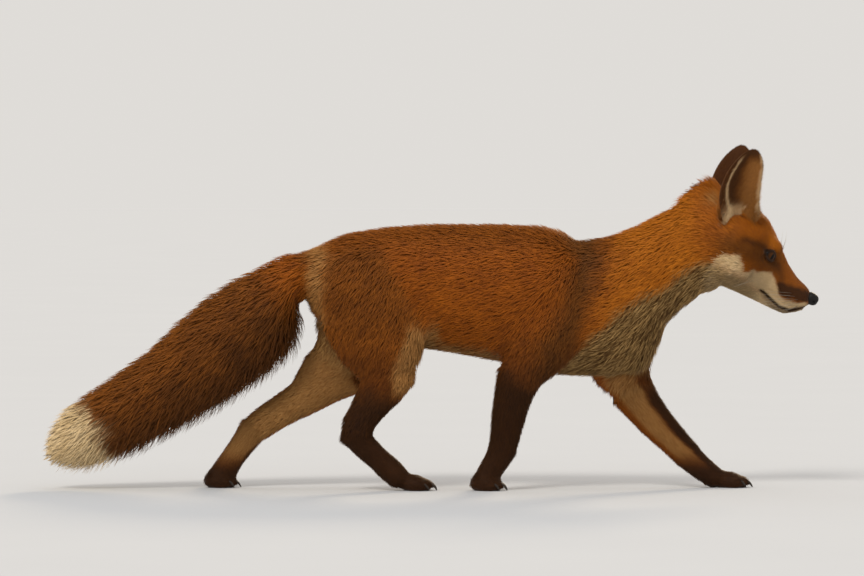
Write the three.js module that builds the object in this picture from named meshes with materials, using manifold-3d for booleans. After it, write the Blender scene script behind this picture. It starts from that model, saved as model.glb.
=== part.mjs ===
// A life-size red fox in mid stride, as a still model that stands on its four feet.
// Millimetres. +X is the way the fox walks, +Y is its left side, +Z is up, and the feet stand on z = 0.
// Every outline is that of the coat, so the solids reach to the tips of the fur.

import * as THREE from "three";
import { mergeVertices } from "three/addons/utils/BufferGeometryUtils.js";
import Module from "manifold-3d";

const wasm = await Module();
wasm.setup();

// ---- Driving dimensions ---------------------------------------------------------------------------------

const GAP = 0.3; // clearance between neighbouring pieces
const SIDES = { trunk: 20, neck: 18, head: 16, muzzle: 14, jaw: 10, tail: 16, thigh: 12, shin: 8 };

// A slice through the body is [x, z, depth, width, lean]: its centre, its size from top to bottom and from
// side to side, and how far its top leans back, in degrees.
const TRUNK = [
  [-143, 265, 104, 96, 5],
  [-106, 262, 141, 112, 4],
  [-56, 262, 157, 116, 3],
  [-3, 263, 163, 118, 1],
  [46, 259, 171, 124, -1],
  [95, 254, 180, 130, -3],
  [142, 246, 190, 128, -3],
  [186, 238, 182, 118, 2],
  [228, 222, 152, 104, 10],
];
const NECK = [
  [212, 236, 178, 98, 12],
  [241, 240, 184, 108, 21],
  [262, 254, 164, 104, 19],
  [287, 281, 133, 96, 16],
  [317, 302, 125, 94, 14],
  [345, 318, 127, 98, 12],
  [366, 326, 126, 98, 10],
];
const TAIL = [
  [-138, 285, 58, 56, 0],
  [-170, 280, 62, 62, 6],
  [-188, 258, 90, 72, 18],
  [-212, 235, 110, 84, 30],
  [-244, 209, 118, 90, 35],
  [-282, 180, 117, 92, 37],
  [-323, 148, 106, 88, 37],
  [-365, 121, 98, 84, 37],
  [-406, 96, 91, 78, 36],
  [-440, 78, 82, 69, 33],
  [-468, 61, 66, 54, 28],
  [-489, 49, 38, 34, 24],
];

// The legs. Each joint is [x, z, y], y being its distance from the middle plane. The two legs of a pair
// have the same girths, [depth, width], in the same order as their joints.
const THIGH_GIRTH = [[84, 40], [122, 56], [138, 62], [122, 58], [92, 50]];
const SHIN_GIRTH = [[78, 46], [62, 41], [51, 36], [44, 31], [43, 29]];
const HIND_FOOT_GIRTH = [[42, 29], [37, 27], [34, 26], [35, 29], [32, 32]];
const ARM_GIRTH = [[58, 34], [92, 46], [104, 52], [88, 50], [66, 46]];
const FOREARM_GIRTH = [[62, 44], [57, 39], [51, 34], [46, 31], [42, 30]];
const FORE_FOOT_GIRTH = [[42, 30], [37, 29], [34, 30], [30, 32]];

const LEGS = {
  hind_right: {
    side: -1,
    upper: [[-92, 304, 34], [-88, 267, 38], [-77, 226, 40], [-63, 190, 42], [-56, 164, 43]],
    lower: [[-56, 158, 43], [-67, 132, 42], [-81, 112, 40], [-92, 94, 38], [-101, 77, 36]],
    foot: [[-103, 75, 36], [-91, 59, 35], [-73, 42, 34], [-55, 26, 34], [-44, 15, 34]],
    paw: { x: -28, y: 34, heading: 2 },
  },
  hind_left: {
    side: 1,
    upper: [[-92, 304, 34], [-92, 264, 38], [-87, 224, 40], [-93, 190, 42], [-95, 166, 43]],
    lower: [[-104, 160, 43], [-138, 138, 42], [-172, 116, 40], [-204, 97, 38], [-229, 80, 36]],
    foot: [[-233, 80, 36], [-246, 61, 36], [-260, 42, 35], [-272, 24, 35], [-282, 13, 35]],
    paw: { x: -284, y: 35, heading: 4 },
  },
  fore_right: {
    side: -1,
    upper: [[176, 300, 28], [164, 256, 36], [148, 212, 41], [132, 180, 42], [118, 158, 42]],
    lower: [[113, 156, 42], [105, 130, 41], [99, 106, 40], [94, 80, 38], [91, 60, 37]],
    foot: [[91, 58, 37], [84, 42, 36], [74, 27, 36], [65, 14, 36]],
    paw: { x: 63, y: 36, heading: 3 },
  },
  fore_left: {
    side: 1,
    upper: [[200, 298, 28], [212, 250, 36], [232, 198, 40], [246, 162, 42], [253, 138, 42]],
    lower: [[256, 130, 42], [272, 108, 41], [289, 87, 40], [308, 67, 38], [325, 49, 37]],
    foot: [[327, 47, 37], [338, 36, 36], [352, 24, 36], [369, 12, 36]],
    paw: { x: 384, y: 36, heading: 2 },
  },
};
const TOES = [
  { ahead: 6, aside: -13, splay: -10 },
  { ahead: 15, aside: -5.5, splay: -3 },
  { ahead: 15, aside: 5.5, splay: 3 },
  { ahead: 6, aside: 13, splay: 10 },
];
const TOE = { length: 28, width: 12.5, height: 19, lift: 7.5 };
const PAD = { length: 36, width: 32, height: 24, lift: 10 };
const CLAW = { length: 10, radius: 1.7, droop: 28, height: 6.5 };

// The head, in a frame of its own: its origin is the tip of the nose, x runs forward along the muzzle and
// z is at right angles to it. In degrees, it hangs down by pitch, is turned to the fox's left by yaw at the
// nape, and leans to its right by roll.
const HEAD = { tip: [501.1, 0, 249.6], nape: [352, 0, 320], pitch: 37, yaw: 9, roll: 4 };
const SKULL = [
  [-190, -14, 96, 88, 0],
  [-164, -14, 112, 106, 0],
  [-136, -11, 113, 114, 0],
  [-112, -9, 102, 104, 0],
  [-93, -11, 88, 82, 0],
  [-77, -13, 72, 60, 0],
];
const MUZZLE = [
  [-94, -7, 64, 56, 0],
  [-74, -9, 62, 49, 0],
  [-54, -14, 50, 41, 0],
  [-36, -17, 44, 36, 0],
  [-20, -16, 38, 31, -6],
  [-7, -13.5, 22, 23, -10],
];
const JAW = [
  [-118, -50, 34, 72, 0],
  [-88, -49, 20, 50, 0],
  [-62, -46, 14, 36, 0],
  [-40, -43.5, 10, 28, 0],
  [-23, -40, 9, 20, 0],
  [-13, -33.5, 8, 14, -20],
  [-5, -25.5, 6, 11, -35],
];
const CHEEK = { at: [-122, -32], aside: 32, size: [70, 46, 56] };
const BROW = { at: [-90, 17], aside: 19, size: [34, 22, 22] };
const SOCKET = { at: [-85.5, 0.5], aside: 36, size: [22, 15, 17] };
const EYE = { at: [-89.5, 3.5], aside: 25, radius: 9 };
const NOSE = { at: [-2.5, -6.5], size: [15, 19, 16] };
const EAR = {
  root: [-146, 14], // the middle of the ear's base
  aside: 32,
  height: 99,
  width: 72, // across the widest part, laid flat
  bulge: 16, // how far the rear margin swells past the front one
  curl: 36, // radius of the hollow
  thickness: 3.6,
  outward: 12, // how far the tip leans outward, in degrees
  // How far the tip leans back, and the way that the hollow faces, outward from straight ahead.
  left: { back: 27, facing: 54 },
  right: { back: 28.5, facing: 72 },
};

// Planes that part the body, each through [x, z] at an angle from upright, in degrees.
const PARTING = {
  tail: { at: [-166, 290], lean: 0 },
  tail_tip: { at: [-446, 80], lean: 34 },
  neck: { at: [246, 240], lean: 22 },
  head: { at: [354, 325], lean: 6 },
};

const COLOURS = {
  coat: 0xa8561f,
  tail: 0x8a5527,
  white: 0xe9dfcd,
  throat: 0xb3a184,
  stocking: 0x35211a,
  nose: 0x141012,
  eye: 0x3a1f0c,
};

// ---- Shapes ---------------------------------------------------------------------------------------------

const degrees = THREE.MathUtils.degToRad;

// A closed geometry with merged vertices and its faces pointing out.
function closed(geometry) {
  geometry.deleteAttribute("normal");
  geometry.deleteAttribute("uv");
  const merged = mergeVertices(geometry, 1e-4);
  const position = merged.attributes.position;
  const index = merged.index.array;
  const corner = [new THREE.Vector3(), new THREE.Vector3(), new THREE.Vector3()];
  let volume = 0;
  for (let i = 0; i < index.length; i += 3) {
    corner.forEach((c, k) => c.fromBufferAttribute(position, index[i + k]));
    volume += corner[0].dot(corner[1].clone().cross(corner[2]));
  }
  if (volume < 0) {
    for (let i = 0; i < index.length; i += 3) {
      [index[i + 1], index[i + 2]] = [index[i + 2], index[i + 1]];
    }
  }
  return merged;
}

function solid(geometry) {
  const mesh = closed(geometry);
  return new wasm.Manifold(
    new wasm.Mesh({
      numProp: 3,
      vertProperties: new Float32Array(mesh.attributes.position.array),
      triVerts: new Uint32Array(mesh.index.array),
    }),
  );
}

// A smooth body through slices. A sphere's rows are laid out along the slices, and its first and last rows
// round off the ends. The section is an ellipse, squarer above 2, and wider at the top where egg is positive.
function loft(slices, { sides, rings = 1, capRows = 3, egg = 0, square = 2, ends = [0.5, 0.5], grow = 0 }) {
  const rows = (slices.length - 1) * rings + 2 * capRows;
  const path = new THREE.CatmullRomCurve3(slices.map(([x, z, , , , y = 0]) => new THREE.Vector3(x, y, z)));
  const size = new THREE.CatmullRomCurve3(slices.map(([, , d, w, lean]) => new THREE.Vector3(d, w, lean)));
  path.curveType = size.curveType = "catmullrom";
  const geometry = new THREE.SphereGeometry(1, sides, rows);
  const position = geometry.attributes.position;
  for (let i = 0; i < position.count; i++) {
    const row = Math.floor(i / (sides + 1));
    const turn = ((i % (sides + 1)) / sides) * 2 * Math.PI;
    const t = THREE.MathUtils.clamp((row - capRows) / (rows - 2 * capRows), 0, 1);
    const start = row < capRows;
    const past = start ? row / capRows : Math.min(1, (rows - row) / capRows);
    const swell = Math.sin((past * Math.PI) / 2);
    const { x: depth, y: width, z: lean } = size.getPoint(t);
    const along = path.getTangent(t);
    const round = start ? -ends[0] : ends[1];
    const reach = Math.cos((past * Math.PI) / 2) * ((round * width) / 2 + Math.sign(round) * grow);
    const high = Math.sign(Math.cos(turn)) * Math.abs(Math.cos(turn)) ** (2 / square);
    const wide = Math.sign(Math.sin(turn)) * Math.abs(Math.sin(turn)) ** (2 / square) * (1 + egg * high);
    const up = new THREE.Vector3(-Math.sin(degrees(lean)), 0, Math.cos(degrees(lean)));
    const point = path.getPoint(t)
      .addScaledVector(along, reach)
      .addScaledVector(up, high * swell * (depth / 2 + grow))
      .addScaledVector(new THREE.Vector3(0, 1, 0), wide * swell * (width / 2 + grow));
    position.setXYZ(i, point.x, point.y, point.z);
  }
  return solid(geometry);
}

// A length of limb: its slices stand at right angles to the line through its joints.
function limb(joints, girths, side, options) {
  const line = new THREE.CatmullRomCurve3(joints.map(([x, z]) => new THREE.Vector3(x, 0, z)));
  line.curveType = "catmullrom";
  const slices = joints.map(([x, z, y], i) => {
    const way = line.getTangent(i / (joints.length - 1));
    const lean = THREE.MathUtils.radToDeg(Math.atan2(-way.z, way.x));
    return [x, z, ...girths[i], -lean, side * y];
  });
  return loft(slices, options);
}

function ellipsoid(at, [length, width, height], grow = 0) {
  const geometry = new THREE.SphereGeometry(0.5, 10, 6);
  geometry.scale(length + 2 * grow, width + 2 * grow, height + 2 * grow);
  geometry.translate(...at);
  return solid(geometry);
}

function joined(solids) {
  return solids.reduce((all, next) => all.add(next));
}

// The half of a solid on each side of a plane through [x, z], with GAP between the two.
function parted(whole, { at: [x, z], lean }) {
  const ahead = [Math.cos(degrees(lean)), 0, Math.sin(degrees(lean))];
  const offset = x * ahead[0] + z * ahead[2];
  return {
    front: whole.trimByPlane(ahead, offset + GAP / 2),
    rear: whole.trimByPlane(ahead.map((n) => -n), GAP / 2 - offset),
  };
}

// ---- Head -----------------------------------------------------------------------------------------------

// Carries the head's own frame to where the head hangs.
const headPlace = new THREE.Matrix4()
  .makeTranslation(...HEAD.nape)
  .multiply(new THREE.Matrix4().makeRotationZ(degrees(HEAD.yaw)))
  .multiply(new THREE.Matrix4().makeTranslation(...HEAD.tip.map((tip, i) => tip - HEAD.nape[i])))
  .multiply(new THREE.Matrix4().makeRotationY(degrees(HEAD.pitch)))
  .multiply(new THREE.Matrix4().makeRotationX(degrees(HEAD.roll)));

const hung = (shape) => shape.transform(headPlace.elements);
const bothSides = ({ at: [x, z], aside, size }, grow = 0) =>
  joined([-1, 1].map((side) => ellipsoid([x, side * aside, z], size, grow)));

function skull(grow = 0) {
  return joined([
    loft(SKULL, { sides: SIDES.head, egg: -0.06, ends: [0.5, 0.6], grow }),
    loft(MUZZLE, { sides: SIDES.muzzle, egg: -0.14, square: 2.3, ends: [0.3, 0.35], grow }),
    bothSides(CHEEK, grow),
    bothSides(BROW, grow),
  ]);
}

function eye(side, grow = 0) {
  const geometry = new THREE.SphereGeometry(EYE.radius + grow, 12, 8);
  geometry.translate(EYE.at[0], side * EYE.aside, EYE.at[1]);
  return solid(geometry);
}

// A hollow leaf: a thin box bent round an upright tube, as wide at each height as the ear is there.
function ear(side, grow = 0) {
  const { back, facing } = side < 0 ? EAR.right : EAR.left;
  const geometry = new THREE.BoxGeometry(1, 1, 1, 6, 7, 1);
  const position = geometry.attributes.position;
  for (let i = 0; i < position.count; i++) {
    const across = position.getX(i) * 2;
    const height = Math.sin(((position.getY(i) + 0.5) * Math.PI) / 2);
    const foot = 0.6 + 0.4 * Math.sin((Math.min(1, height / 0.5) * Math.PI) / 2);
    const outline = 0.04 + 0.96 * foot * (1 - height ** 3.2) ** 0.65;
    const bulge = side * EAR.bulge * Math.sin(Math.PI * height);
    const curl = EAR.curl * (1 - 0.2 * height);
    const turn = (across * outline * EAR.width) / 2 / curl;
    const skin = position.getZ(i) * 2 * (EAR.thickness / 2 + grow);
    const radius = curl - skin;
    position.setXYZ(
      i,
      curl - radius * Math.cos(turn),
      radius * Math.sin(turn) + bulge,
      height * (EAR.height + grow) - 8 * across ** 2 * (1 - height),
    );
  }
  geometry.rotateZ(degrees(side * facing));
  geometry.rotateX(degrees(-side * EAR.outward));
  geometry.rotateY(degrees(-back));
  geometry.translate(EAR.root[0], side * EAR.aside, EAR.root[1]);
  return solid(geometry);
}

// ---- Legs -----------------------------------------------------------------------------------------------

function paw({ x, y, heading }, side) {
  const pad = ellipsoid([0, 0, PAD.lift], [PAD.length, PAD.width, PAD.height]);
  const toes = TOES.map(({ ahead, aside, splay }) => {
    const toe = new THREE.SphereGeometry(0.5, 6, 4);
    toe.rotateZ(Math.PI / 2);
    toe.scale(TOE.length, TOE.width, TOE.height);
    const claw = new THREE.ConeGeometry(CLAW.radius, CLAW.length, 3);
    claw.rotateZ(-Math.PI / 2);
    claw.rotateY(degrees(CLAW.droop));
    claw.translate(TOE.length / 2 + CLAW.length / 4, 0, CLAW.height - TOE.lift);
    return joined([toe, claw].map((piece) => {
      piece.rotateZ(degrees(splay));
      piece.translate(ahead, aside, TOE.lift);
      return solid(piece);
    }));
  });
  return joined([pad, ...toes]).rotate([0, 0, side * heading]).translate([x, side * y, 0]);
}

const SHIN = { sides: SIDES.shin, capRows: 2, ends: [0.2, 0.5] };

// One leg in three lengths. Each is cut away where the one above it reaches.
function leg({ side, upper, lower, foot, paw: print }, girths) {
  const thick = (grow) => limb(upper, girths.upper, side, { sides: SIDES.thigh, capRows: 2, grow });
  const shin = (grow) => limb(lower, girths.lower, side, { ...SHIN, grow });
  const last = limb(foot, girths.foot, side, SHIN);
  return {
    upper: thick(0),
    clearance: thick(GAP),
    lower: shin(0).subtract(thick(GAP)),
    foot: joined([last, paw(print, side)]).subtract(shin(GAP)).trimByPlane([0, 0, 1], 0),
  };
}

// ---- The fox --------------------------------------------------------------------------------------------

const hind = { upper: THIGH_GIRTH, lower: SHIN_GIRTH, foot: HIND_FOOT_GIRTH };
const fore = { upper: ARM_GIRTH, lower: FOREARM_GIRTH, foot: FORE_FOOT_GIRTH };
const legs = Object.fromEntries(
  Object.entries(LEGS).map(([name, plan]) => [name, leg(plan, name.startsWith("hind") ? hind : fore)]),
);

const nose = (grow) => ellipsoid([NOSE.at[0], 0, NOSE.at[1]], NOSE.size, grow);
const neck = (grow) => loft(NECK, { sides: SIDES.neck, ends: [0.3, 0.4], grow });
const face = skull().subtract(bothSides(SOCKET));
const body = joined([
  loft(TRUNK, { sides: SIDES.trunk, egg: 0.06, ends: [0.5, 0.4] }),
  neck(0),
  loft(TAIL, { sides: SIDES.tail, ends: [0.3, 0.8] }),
  hung(face),
]);

const cutAway = (piece, ...others) => others.reduce((left, other) => left.subtract(other), piece);
const biggest = (piece) => piece.decompose().sort((a, b) => b.volume() - a.volume())[0];

const tailCut = parted(body, PARTING.tail);
const neckCut = parted(tailCut.front, PARTING.neck);
const headCut = parted(neckCut.front, PARTING.head);
const tipCut = parted(tailCut.rear, PARTING.tail_tip);
const grownLegs = Object.values(legs).map((one) => one.clearance);
const headGrown = hung(skull(GAP));

const pieces = {
  trunk: [cutAway(neckCut.rear, ...grownLegs), COLOURS.coat],
  neck: [cutAway(headCut.rear, ...grownLegs), COLOURS.coat],
  head: [cutAway(headCut.front, hung(nose(GAP)), hung(eye(-1, GAP)), hung(eye(1, GAP))), COLOURS.coat],
  lower_jaw: [
    cutAway(hung(loft(JAW, { sides: SIDES.jaw, ends: [0.3, 0.6] })), headGrown, neck(GAP)),
    COLOURS.white,
  ],
  nose: [hung(nose(0)), COLOURS.nose],
  eye_right: [hung(eye(-1)), COLOURS.eye],
  eye_left: [hung(eye(1)), COLOURS.eye],
  ear_right: [cutAway(hung(ear(-1)), headGrown), COLOURS.stocking],
  ear_left: [cutAway(hung(ear(1)), headGrown), COLOURS.stocking],
  tail: [tipCut.front, COLOURS.tail],
  tail_tip: [tipCut.rear, COLOURS.white],
};
for (const [name, one] of Object.entries(legs)) {
  const [upperName, lowerName] = name.startsWith("hind") ? ["thigh", "shank"] : ["upper_arm", "forearm"];
  pieces[`${name}_${upperName}`] = [one.upper, COLOURS.coat];
  pieces[`${name}_${lowerName}`] = [one.lower, COLOURS.stocking];
  pieces[`${name}_foot`] = [one.foot, COLOURS.stocking];
}

function meshOf(name, [shape, colour]) {
  const { vertProperties, triVerts, numProp } = biggest(shape).getMesh();
  const interleaved = new THREE.InterleavedBuffer(vertProperties, numProp);
  const geometry = new THREE.BufferGeometry()
    .setAttribute("position", new THREE.InterleavedBufferAttribute(interleaved, 3, 0))
    .setIndex(new THREE.BufferAttribute(triVerts, 1));
  const material = new THREE.MeshStandardMaterial({ color: colour, roughness: 0.8, metalness: 0 });
  const mesh = new THREE.Mesh(geometry, material);
  mesh.name = name;
  return mesh;
}

const fox = new THREE.Group();
for (const [name, piece] of Object.entries(pieces)) fox.add(meshOf(name, piece));

// The origin is on the floor, under the middle of the model.
const box = new THREE.Box3().setFromObject(fox);
const middle = box.getCenter(new THREE.Vector3());
fox.position.set(-middle.x, -middle.y, -box.min.z);

export default fox;
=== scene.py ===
"""The looks of a life-size red fox in mid stride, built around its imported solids.

One skin takes the place of every node of flesh: it is remeshed from them, smoothed, drawn in by the depth
of the coat and modelled at the face. The eyes, nose pad, claws and whiskers are pieces of their own, and
the coat is solid tufts that follow the lie of the hair. Lengths are in millimetres where a name says so in
its section's heading, and in metres everywhere in Blender.
"""

import math

import bmesh
import bpy
import numpy as np
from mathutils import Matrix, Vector
from mathutils.bvhtree import BVHTree
from mathutils.kdtree import KDTree


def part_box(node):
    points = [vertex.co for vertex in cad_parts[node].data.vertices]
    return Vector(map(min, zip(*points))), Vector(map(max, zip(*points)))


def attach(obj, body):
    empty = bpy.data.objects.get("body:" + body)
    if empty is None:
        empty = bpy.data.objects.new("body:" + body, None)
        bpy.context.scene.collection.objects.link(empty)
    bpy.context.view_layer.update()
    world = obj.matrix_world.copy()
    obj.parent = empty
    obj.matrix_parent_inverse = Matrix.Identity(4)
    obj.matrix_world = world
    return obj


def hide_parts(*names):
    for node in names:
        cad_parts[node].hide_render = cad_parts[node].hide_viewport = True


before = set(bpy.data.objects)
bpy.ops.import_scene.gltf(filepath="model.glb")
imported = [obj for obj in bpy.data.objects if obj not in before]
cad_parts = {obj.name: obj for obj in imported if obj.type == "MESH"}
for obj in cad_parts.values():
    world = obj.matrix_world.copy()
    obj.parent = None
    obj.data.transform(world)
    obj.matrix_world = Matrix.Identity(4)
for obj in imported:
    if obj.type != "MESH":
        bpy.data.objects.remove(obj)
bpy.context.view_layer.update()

MM = 0.001
rng = np.random.default_rng(11)

# ---- Sizes, in millimetres and degrees ------------------------------------------------------------------

LEGS = ("hind_right", "hind_left", "fore_right", "fore_left")
EYES = {"eye_right": -1, "eye_left": 1}
EARS = {"ear_right": -1, "ear_left": 1}

# The head has a frame of its own: its origin is the tip of the nose, x runs forward along the muzzle, y to
# the fox's left and z upward. These place it, with the nose pad's solid.
HEAD_PITCH, HEAD_YAW, HEAD_ROLL = 37, 9, 4
NOSE_AT = (-2.5, 0, -6.5)
PAD_AT, NOSE_PAD = (-3.4, 0, -6.4), (18, 19.5, 16.5)

EYE_RADIUS = 9
EYE_AXIS = (0.53, 0.83, 0.12)  # the way an eye looks, on the left side, and the way its lids open
LID_AXIS = (0.38, 0.91, 0.14)
LID_HALF_LENGTH = 10.8
LID_UPPER, LID_LOWER = 4.6, 4.2
LID_SLANT = -2

EAR_ROOT = (-146, 32, 14)
EAR_HEIGHT, EAR_WIDTH, EAR_BULGE, EAR_CURL = 99, 72, 16, 36
EAR_BACK, EAR_FACING = {-1: 28.5, 1: 27}, {-1: 72, 1: 54}
EAR_OUTWARD = 12
EAR_THICK_ROOT, EAR_THICK_TIP = 5.0, 2.0

# The mouth's line on each side of the muzzle, as (x, z) in the head's frame, from its corner to the front.
MOUTH = [(-71, -38), (-59, -37.5), (-46, -39.5), (-33, -40.2), (-20, -36), (-12.5, -28), (-5, -20)]

# Each paw's middle on the floor and the way it points.
PAWS = {
    "hind_right": (-27.0, -38.0, -2),
    "hind_left": (-283.0, 31.0, 4),
    "fore_right": (64.0, -40.0, -3),
    "fore_left": (385.0, 32.0, 2),
}
TOES = [(6, -13, -10), (15, -5.5, -3), (15, 5.5, 3), (6, 13, 10)]  # ahead, aside, splay
TOE_SIZE, TOE_LIFT = (28, 12.5, 19), 7.5
PAD_SIZE, PAD_LIFT = (36, 32, 24), 10
CLAW_LENGTH, CLAW_RADIUS, CLAW_DROOP, CLAW_HEIGHT = 11, 1.7, 28, 6.5

# Folds that the solids leave open, as capsules: (x, z, radius) at each end, and the node they lie beside.
FOLDS = [
    ((-21, 198, 15), (-34, 147, 11), "hind_right_thigh"),
    ((-128, 205, 15), (-168, 142, 13), "hind_left_thigh"),
    ((-107, 98, 8), (-114, 67, 8.5), "hind_right_foot"),
    ((338, 372, 17), (364, 385, 17), "neck"),
]
VOXEL = 2.4
OVERLAP = 0.4  # closes the gaps between neighbouring solids

# The coat on each region: depth from skin to tips, length and width of a tuft, and tufts per square mm.
COAT = {
    "trunk": (8, 20, 1.7, 0.238),
    "neck": (10, 23, 1.75, 0.245),
    "head": (6, 13, 1.6, 0.38),
    "tail": (19, 38, 1.9, 0.25),
    "tail_tip": (18, 36, 1.8, 0.31),
    "thigh": (7.5, 19, 1.7, 0.238),
    "shank": (4.5, 12, 1.35, 0.50),
    "upper_arm": (7, 17, 1.6, 0.28),
    "forearm": (3.2, 9.5, 1.15, 0.66),
    "foot": (1.9, 6, 1.0, 0.75),
    "ear": (1.2, 6, 0.85, 1.2),
}
SKIN_SHARE = 0.82  # how much of the coat's depth the skin is drawn in by
REGIONS = list(COAT)

# ---- Small tools ----------------------------------------------------------------------------------------


def unit(v):
    """Rows of v at length one."""
    v = np.asarray(v, float)
    return v / np.maximum(np.linalg.norm(v, axis=-1, keepdims=True), 1e-12)


def step(x, low, high):
    """0 below low, 1 above high, and smooth between."""
    t = np.clip((np.asarray(x, float) - low) / (high - low), 0, 1)
    return t * t * (3 - 2 * t)


def bump(x, middle, spread):
    return np.exp(-(((x - middle) / spread) ** 2))


def turn_about(axis, degrees):
    c, s = math.cos(math.radians(degrees)), math.sin(math.radians(degrees))
    rows = {
        "x": [[1, 0, 0], [0, c, -s], [0, s, c]],
        "y": [[c, 0, s], [0, 1, 0], [-s, 0, c]],
        "z": [[c, -s, 0], [s, c, 0], [0, 0, 1]],
    }
    return np.array(rows[axis])


def centre_of(node):
    low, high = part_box(node)
    return np.array((low + high) / 2)


def mesh_arrays(mesh):
    mesh.calc_loop_triangles()
    verts = np.empty(len(mesh.vertices) * 3, np.float32)
    mesh.vertices.foreach_get("co", verts)
    tris = np.empty(len(mesh.loop_triangles) * 3, np.int32)
    mesh.loop_triangles.foreach_get("vertices", tris)
    return verts.reshape(-1, 3).astype(float), tris.reshape(-1, 3).astype(np.int64)


def make_mesh(name, verts, tris):
    mesh = bpy.data.meshes.new(name)
    mesh.vertices.add(len(verts))
    mesh.vertices.foreach_set("co", np.asarray(verts, np.float32).ravel())
    mesh.loops.add(len(tris) * 3)
    mesh.loops.foreach_set("vertex_index", np.asarray(tris, np.int32).ravel())
    mesh.polygons.add(len(tris))
    mesh.polygons.foreach_set("loop_start", np.arange(0, len(tris) * 3, 3, dtype=np.int32))
    mesh.polygons.foreach_set("use_smooth", np.ones(len(tris), bool))
    mesh.update(calc_edges=True)
    mesh.validate()
    return mesh


def make_object(name, verts, tris, material=None):
    obj = bpy.data.objects.new(name, make_mesh(name, verts, tris))
    bpy.context.scene.collection.objects.link(obj)
    if material:
        obj.data.materials.append(material)
    return obj


def paint(mesh, name, values):
    """Stores rows of three numbers on the vertices, as a colour that materials read."""
    layer = mesh.color_attributes.new(name, "FLOAT_COLOR", "POINT")
    colour = np.ones((len(values), 4), np.float32)
    colour[:, :3] = values
    layer.data.foreach_set("color", colour.ravel())


def set_uv(mesh, uv_of_vertex):
    layer = mesh.uv_layers.new(name="OFBake")
    index = np.empty(len(mesh.loops), np.int32)
    mesh.loops.foreach_get("vertex_index", index)
    layer.data.foreach_set("uv", np.asarray(uv_of_vertex, np.float32)[index].ravel())


def ball(middle, size, turn=np.eye(3), rings=24, sides=36):
    """A closed ellipsoid."""
    up = np.linspace(0, math.pi, rings + 1)[1:-1]
    round_ = np.arange(sides) * 2 * math.pi / sides
    z, a = np.meshgrid(up, round_, indexing="ij")
    rows = np.stack([np.sin(z) * np.cos(a), np.sin(z) * np.sin(a), np.cos(z)], -1).reshape(-1, 3)
    verts = np.concatenate([rows, [[0, 0, 1], [0, 0, -1]]])
    verts = (verts * np.array(size) / 2) @ np.asarray(turn).T + np.array(middle)
    tris = []
    for i in range(rings - 2):
        for j in range(sides):
            k = (j + 1) % sides
            a, b, c, d = i * sides + j, i * sides + k, (i + 1) * sides + k, (i + 1) * sides + j
            tris += [(a, d, c), (a, c, b)]
    last, top = (rings - 2) * sides, len(rows)
    for j in range(sides):
        k = (j + 1) % sides
        tris += [(top, j, k), (top + 1, last + k, last + j)]
    return verts, np.array(tris)


def together(parts):
    """Joins (verts, tris) pairs into one."""
    verts, tris, start = [], [], 0
    for v, t in parts:
        verts.append(v)
        tris.append(t + start)
        start += len(v)
    return np.concatenate(verts), np.concatenate(tris)


def vertex_normals(verts, tris):
    a, b, c = verts[tris[:, 0]], verts[tris[:, 1]], verts[tris[:, 2]]
    face = np.cross(b - a, c - a)
    out = np.zeros_like(verts)
    for k in range(3):
        for corner in range(3):
            out[:, k] += np.bincount(tris[:, corner], face[:, k], len(verts))
    return unit(out)


class Web:
    """Which vertices are neighbours, for smoothing what lies on them."""

    def __init__(self, tris, count):
        pairs = np.concatenate([tris[:, [0, 1]], tris[:, [1, 2]], tris[:, [2, 0]]])
        pairs = np.unique(np.sort(pairs, 1), axis=0)
        self.a, self.b, self.count = pairs[:, 0], pairs[:, 1], count
        self.degree = np.bincount(pairs.ravel(), minlength=count).clip(1)[:, None]

    def mean(self, field):
        out = np.empty_like(field)
        for k in range(field.shape[1]):
            out[:, k] = np.bincount(self.a, field[self.b, k], self.count)
            out[:, k] += np.bincount(self.b, field[self.a, k], self.count)
        return out / self.degree

    def smooth(self, field, rounds, share=0.5):
        field = np.array(field, float)
        flat = field.ndim == 1
        if flat:
            field = field[:, None]
        if np.ndim(share):
            share = np.asarray(share)[:, None]
        for _ in range(rounds):
            field += share * (self.mean(field) - field)
        return field[:, 0] if flat else field


def refine(verts, tris, wanted):
    """Splits in two every edge with both ends wanted, and the triangles with it."""
    ends = np.stack([tris[:, [0, 1]], tris[:, [1, 2]], tris[:, [2, 0]]], 1)
    flat = np.sort(ends.reshape(-1, 2), 1)
    edges, which = np.unique(flat, axis=0, return_inverse=True)
    split = wanted[edges[:, 0]] & wanted[edges[:, 1]]
    new_id = np.where(split, len(verts) + np.cumsum(split) - 1, -1)
    middle = new_id[which.reshape(-1, 3)]
    verts = np.concatenate([verts, (verts[edges[split, 0]] + verts[edges[split, 1]]) / 2])
    cuts = (middle >= 0).sum(1)
    out = [tris[cuts == 0]]
    for cut_count, first in ((1, lambda m: m[:, 0] >= 0), (2, lambda m: m[:, 2] < 0)):
        t, m = tris[cuts == cut_count], middle[cuts == cut_count]
        for _ in range(3):
            ready = first(m)
            t = np.where(ready[:, None], t, np.roll(t, -1, 1))
            m = np.where(ready[:, None], m, np.roll(m, -1, 1))
        a, b, c = t.T
        if cut_count == 1:
            out += [np.stack([a, m[:, 0], c], 1), np.stack([m[:, 0], b, c], 1)]
        else:
            out += [np.stack([m[:, 0], b, m[:, 1]], 1), np.stack([a, m[:, 0], m[:, 1]], 1)]
            out += [np.stack([a, m[:, 1], c], 1)]
    t, m = tris[cuts == 3], middle[cuts == 3]
    out += [np.stack([t[:, 0], m[:, 0], m[:, 2]], 1), np.stack([m[:, 0], t[:, 1], m[:, 1]], 1)]
    out += [np.stack([m[:, 2], m[:, 1], t[:, 2]], 1), m]
    return verts, np.concatenate(out)


# ---- The head's frame -----------------------------------------------------------------------------------

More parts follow.
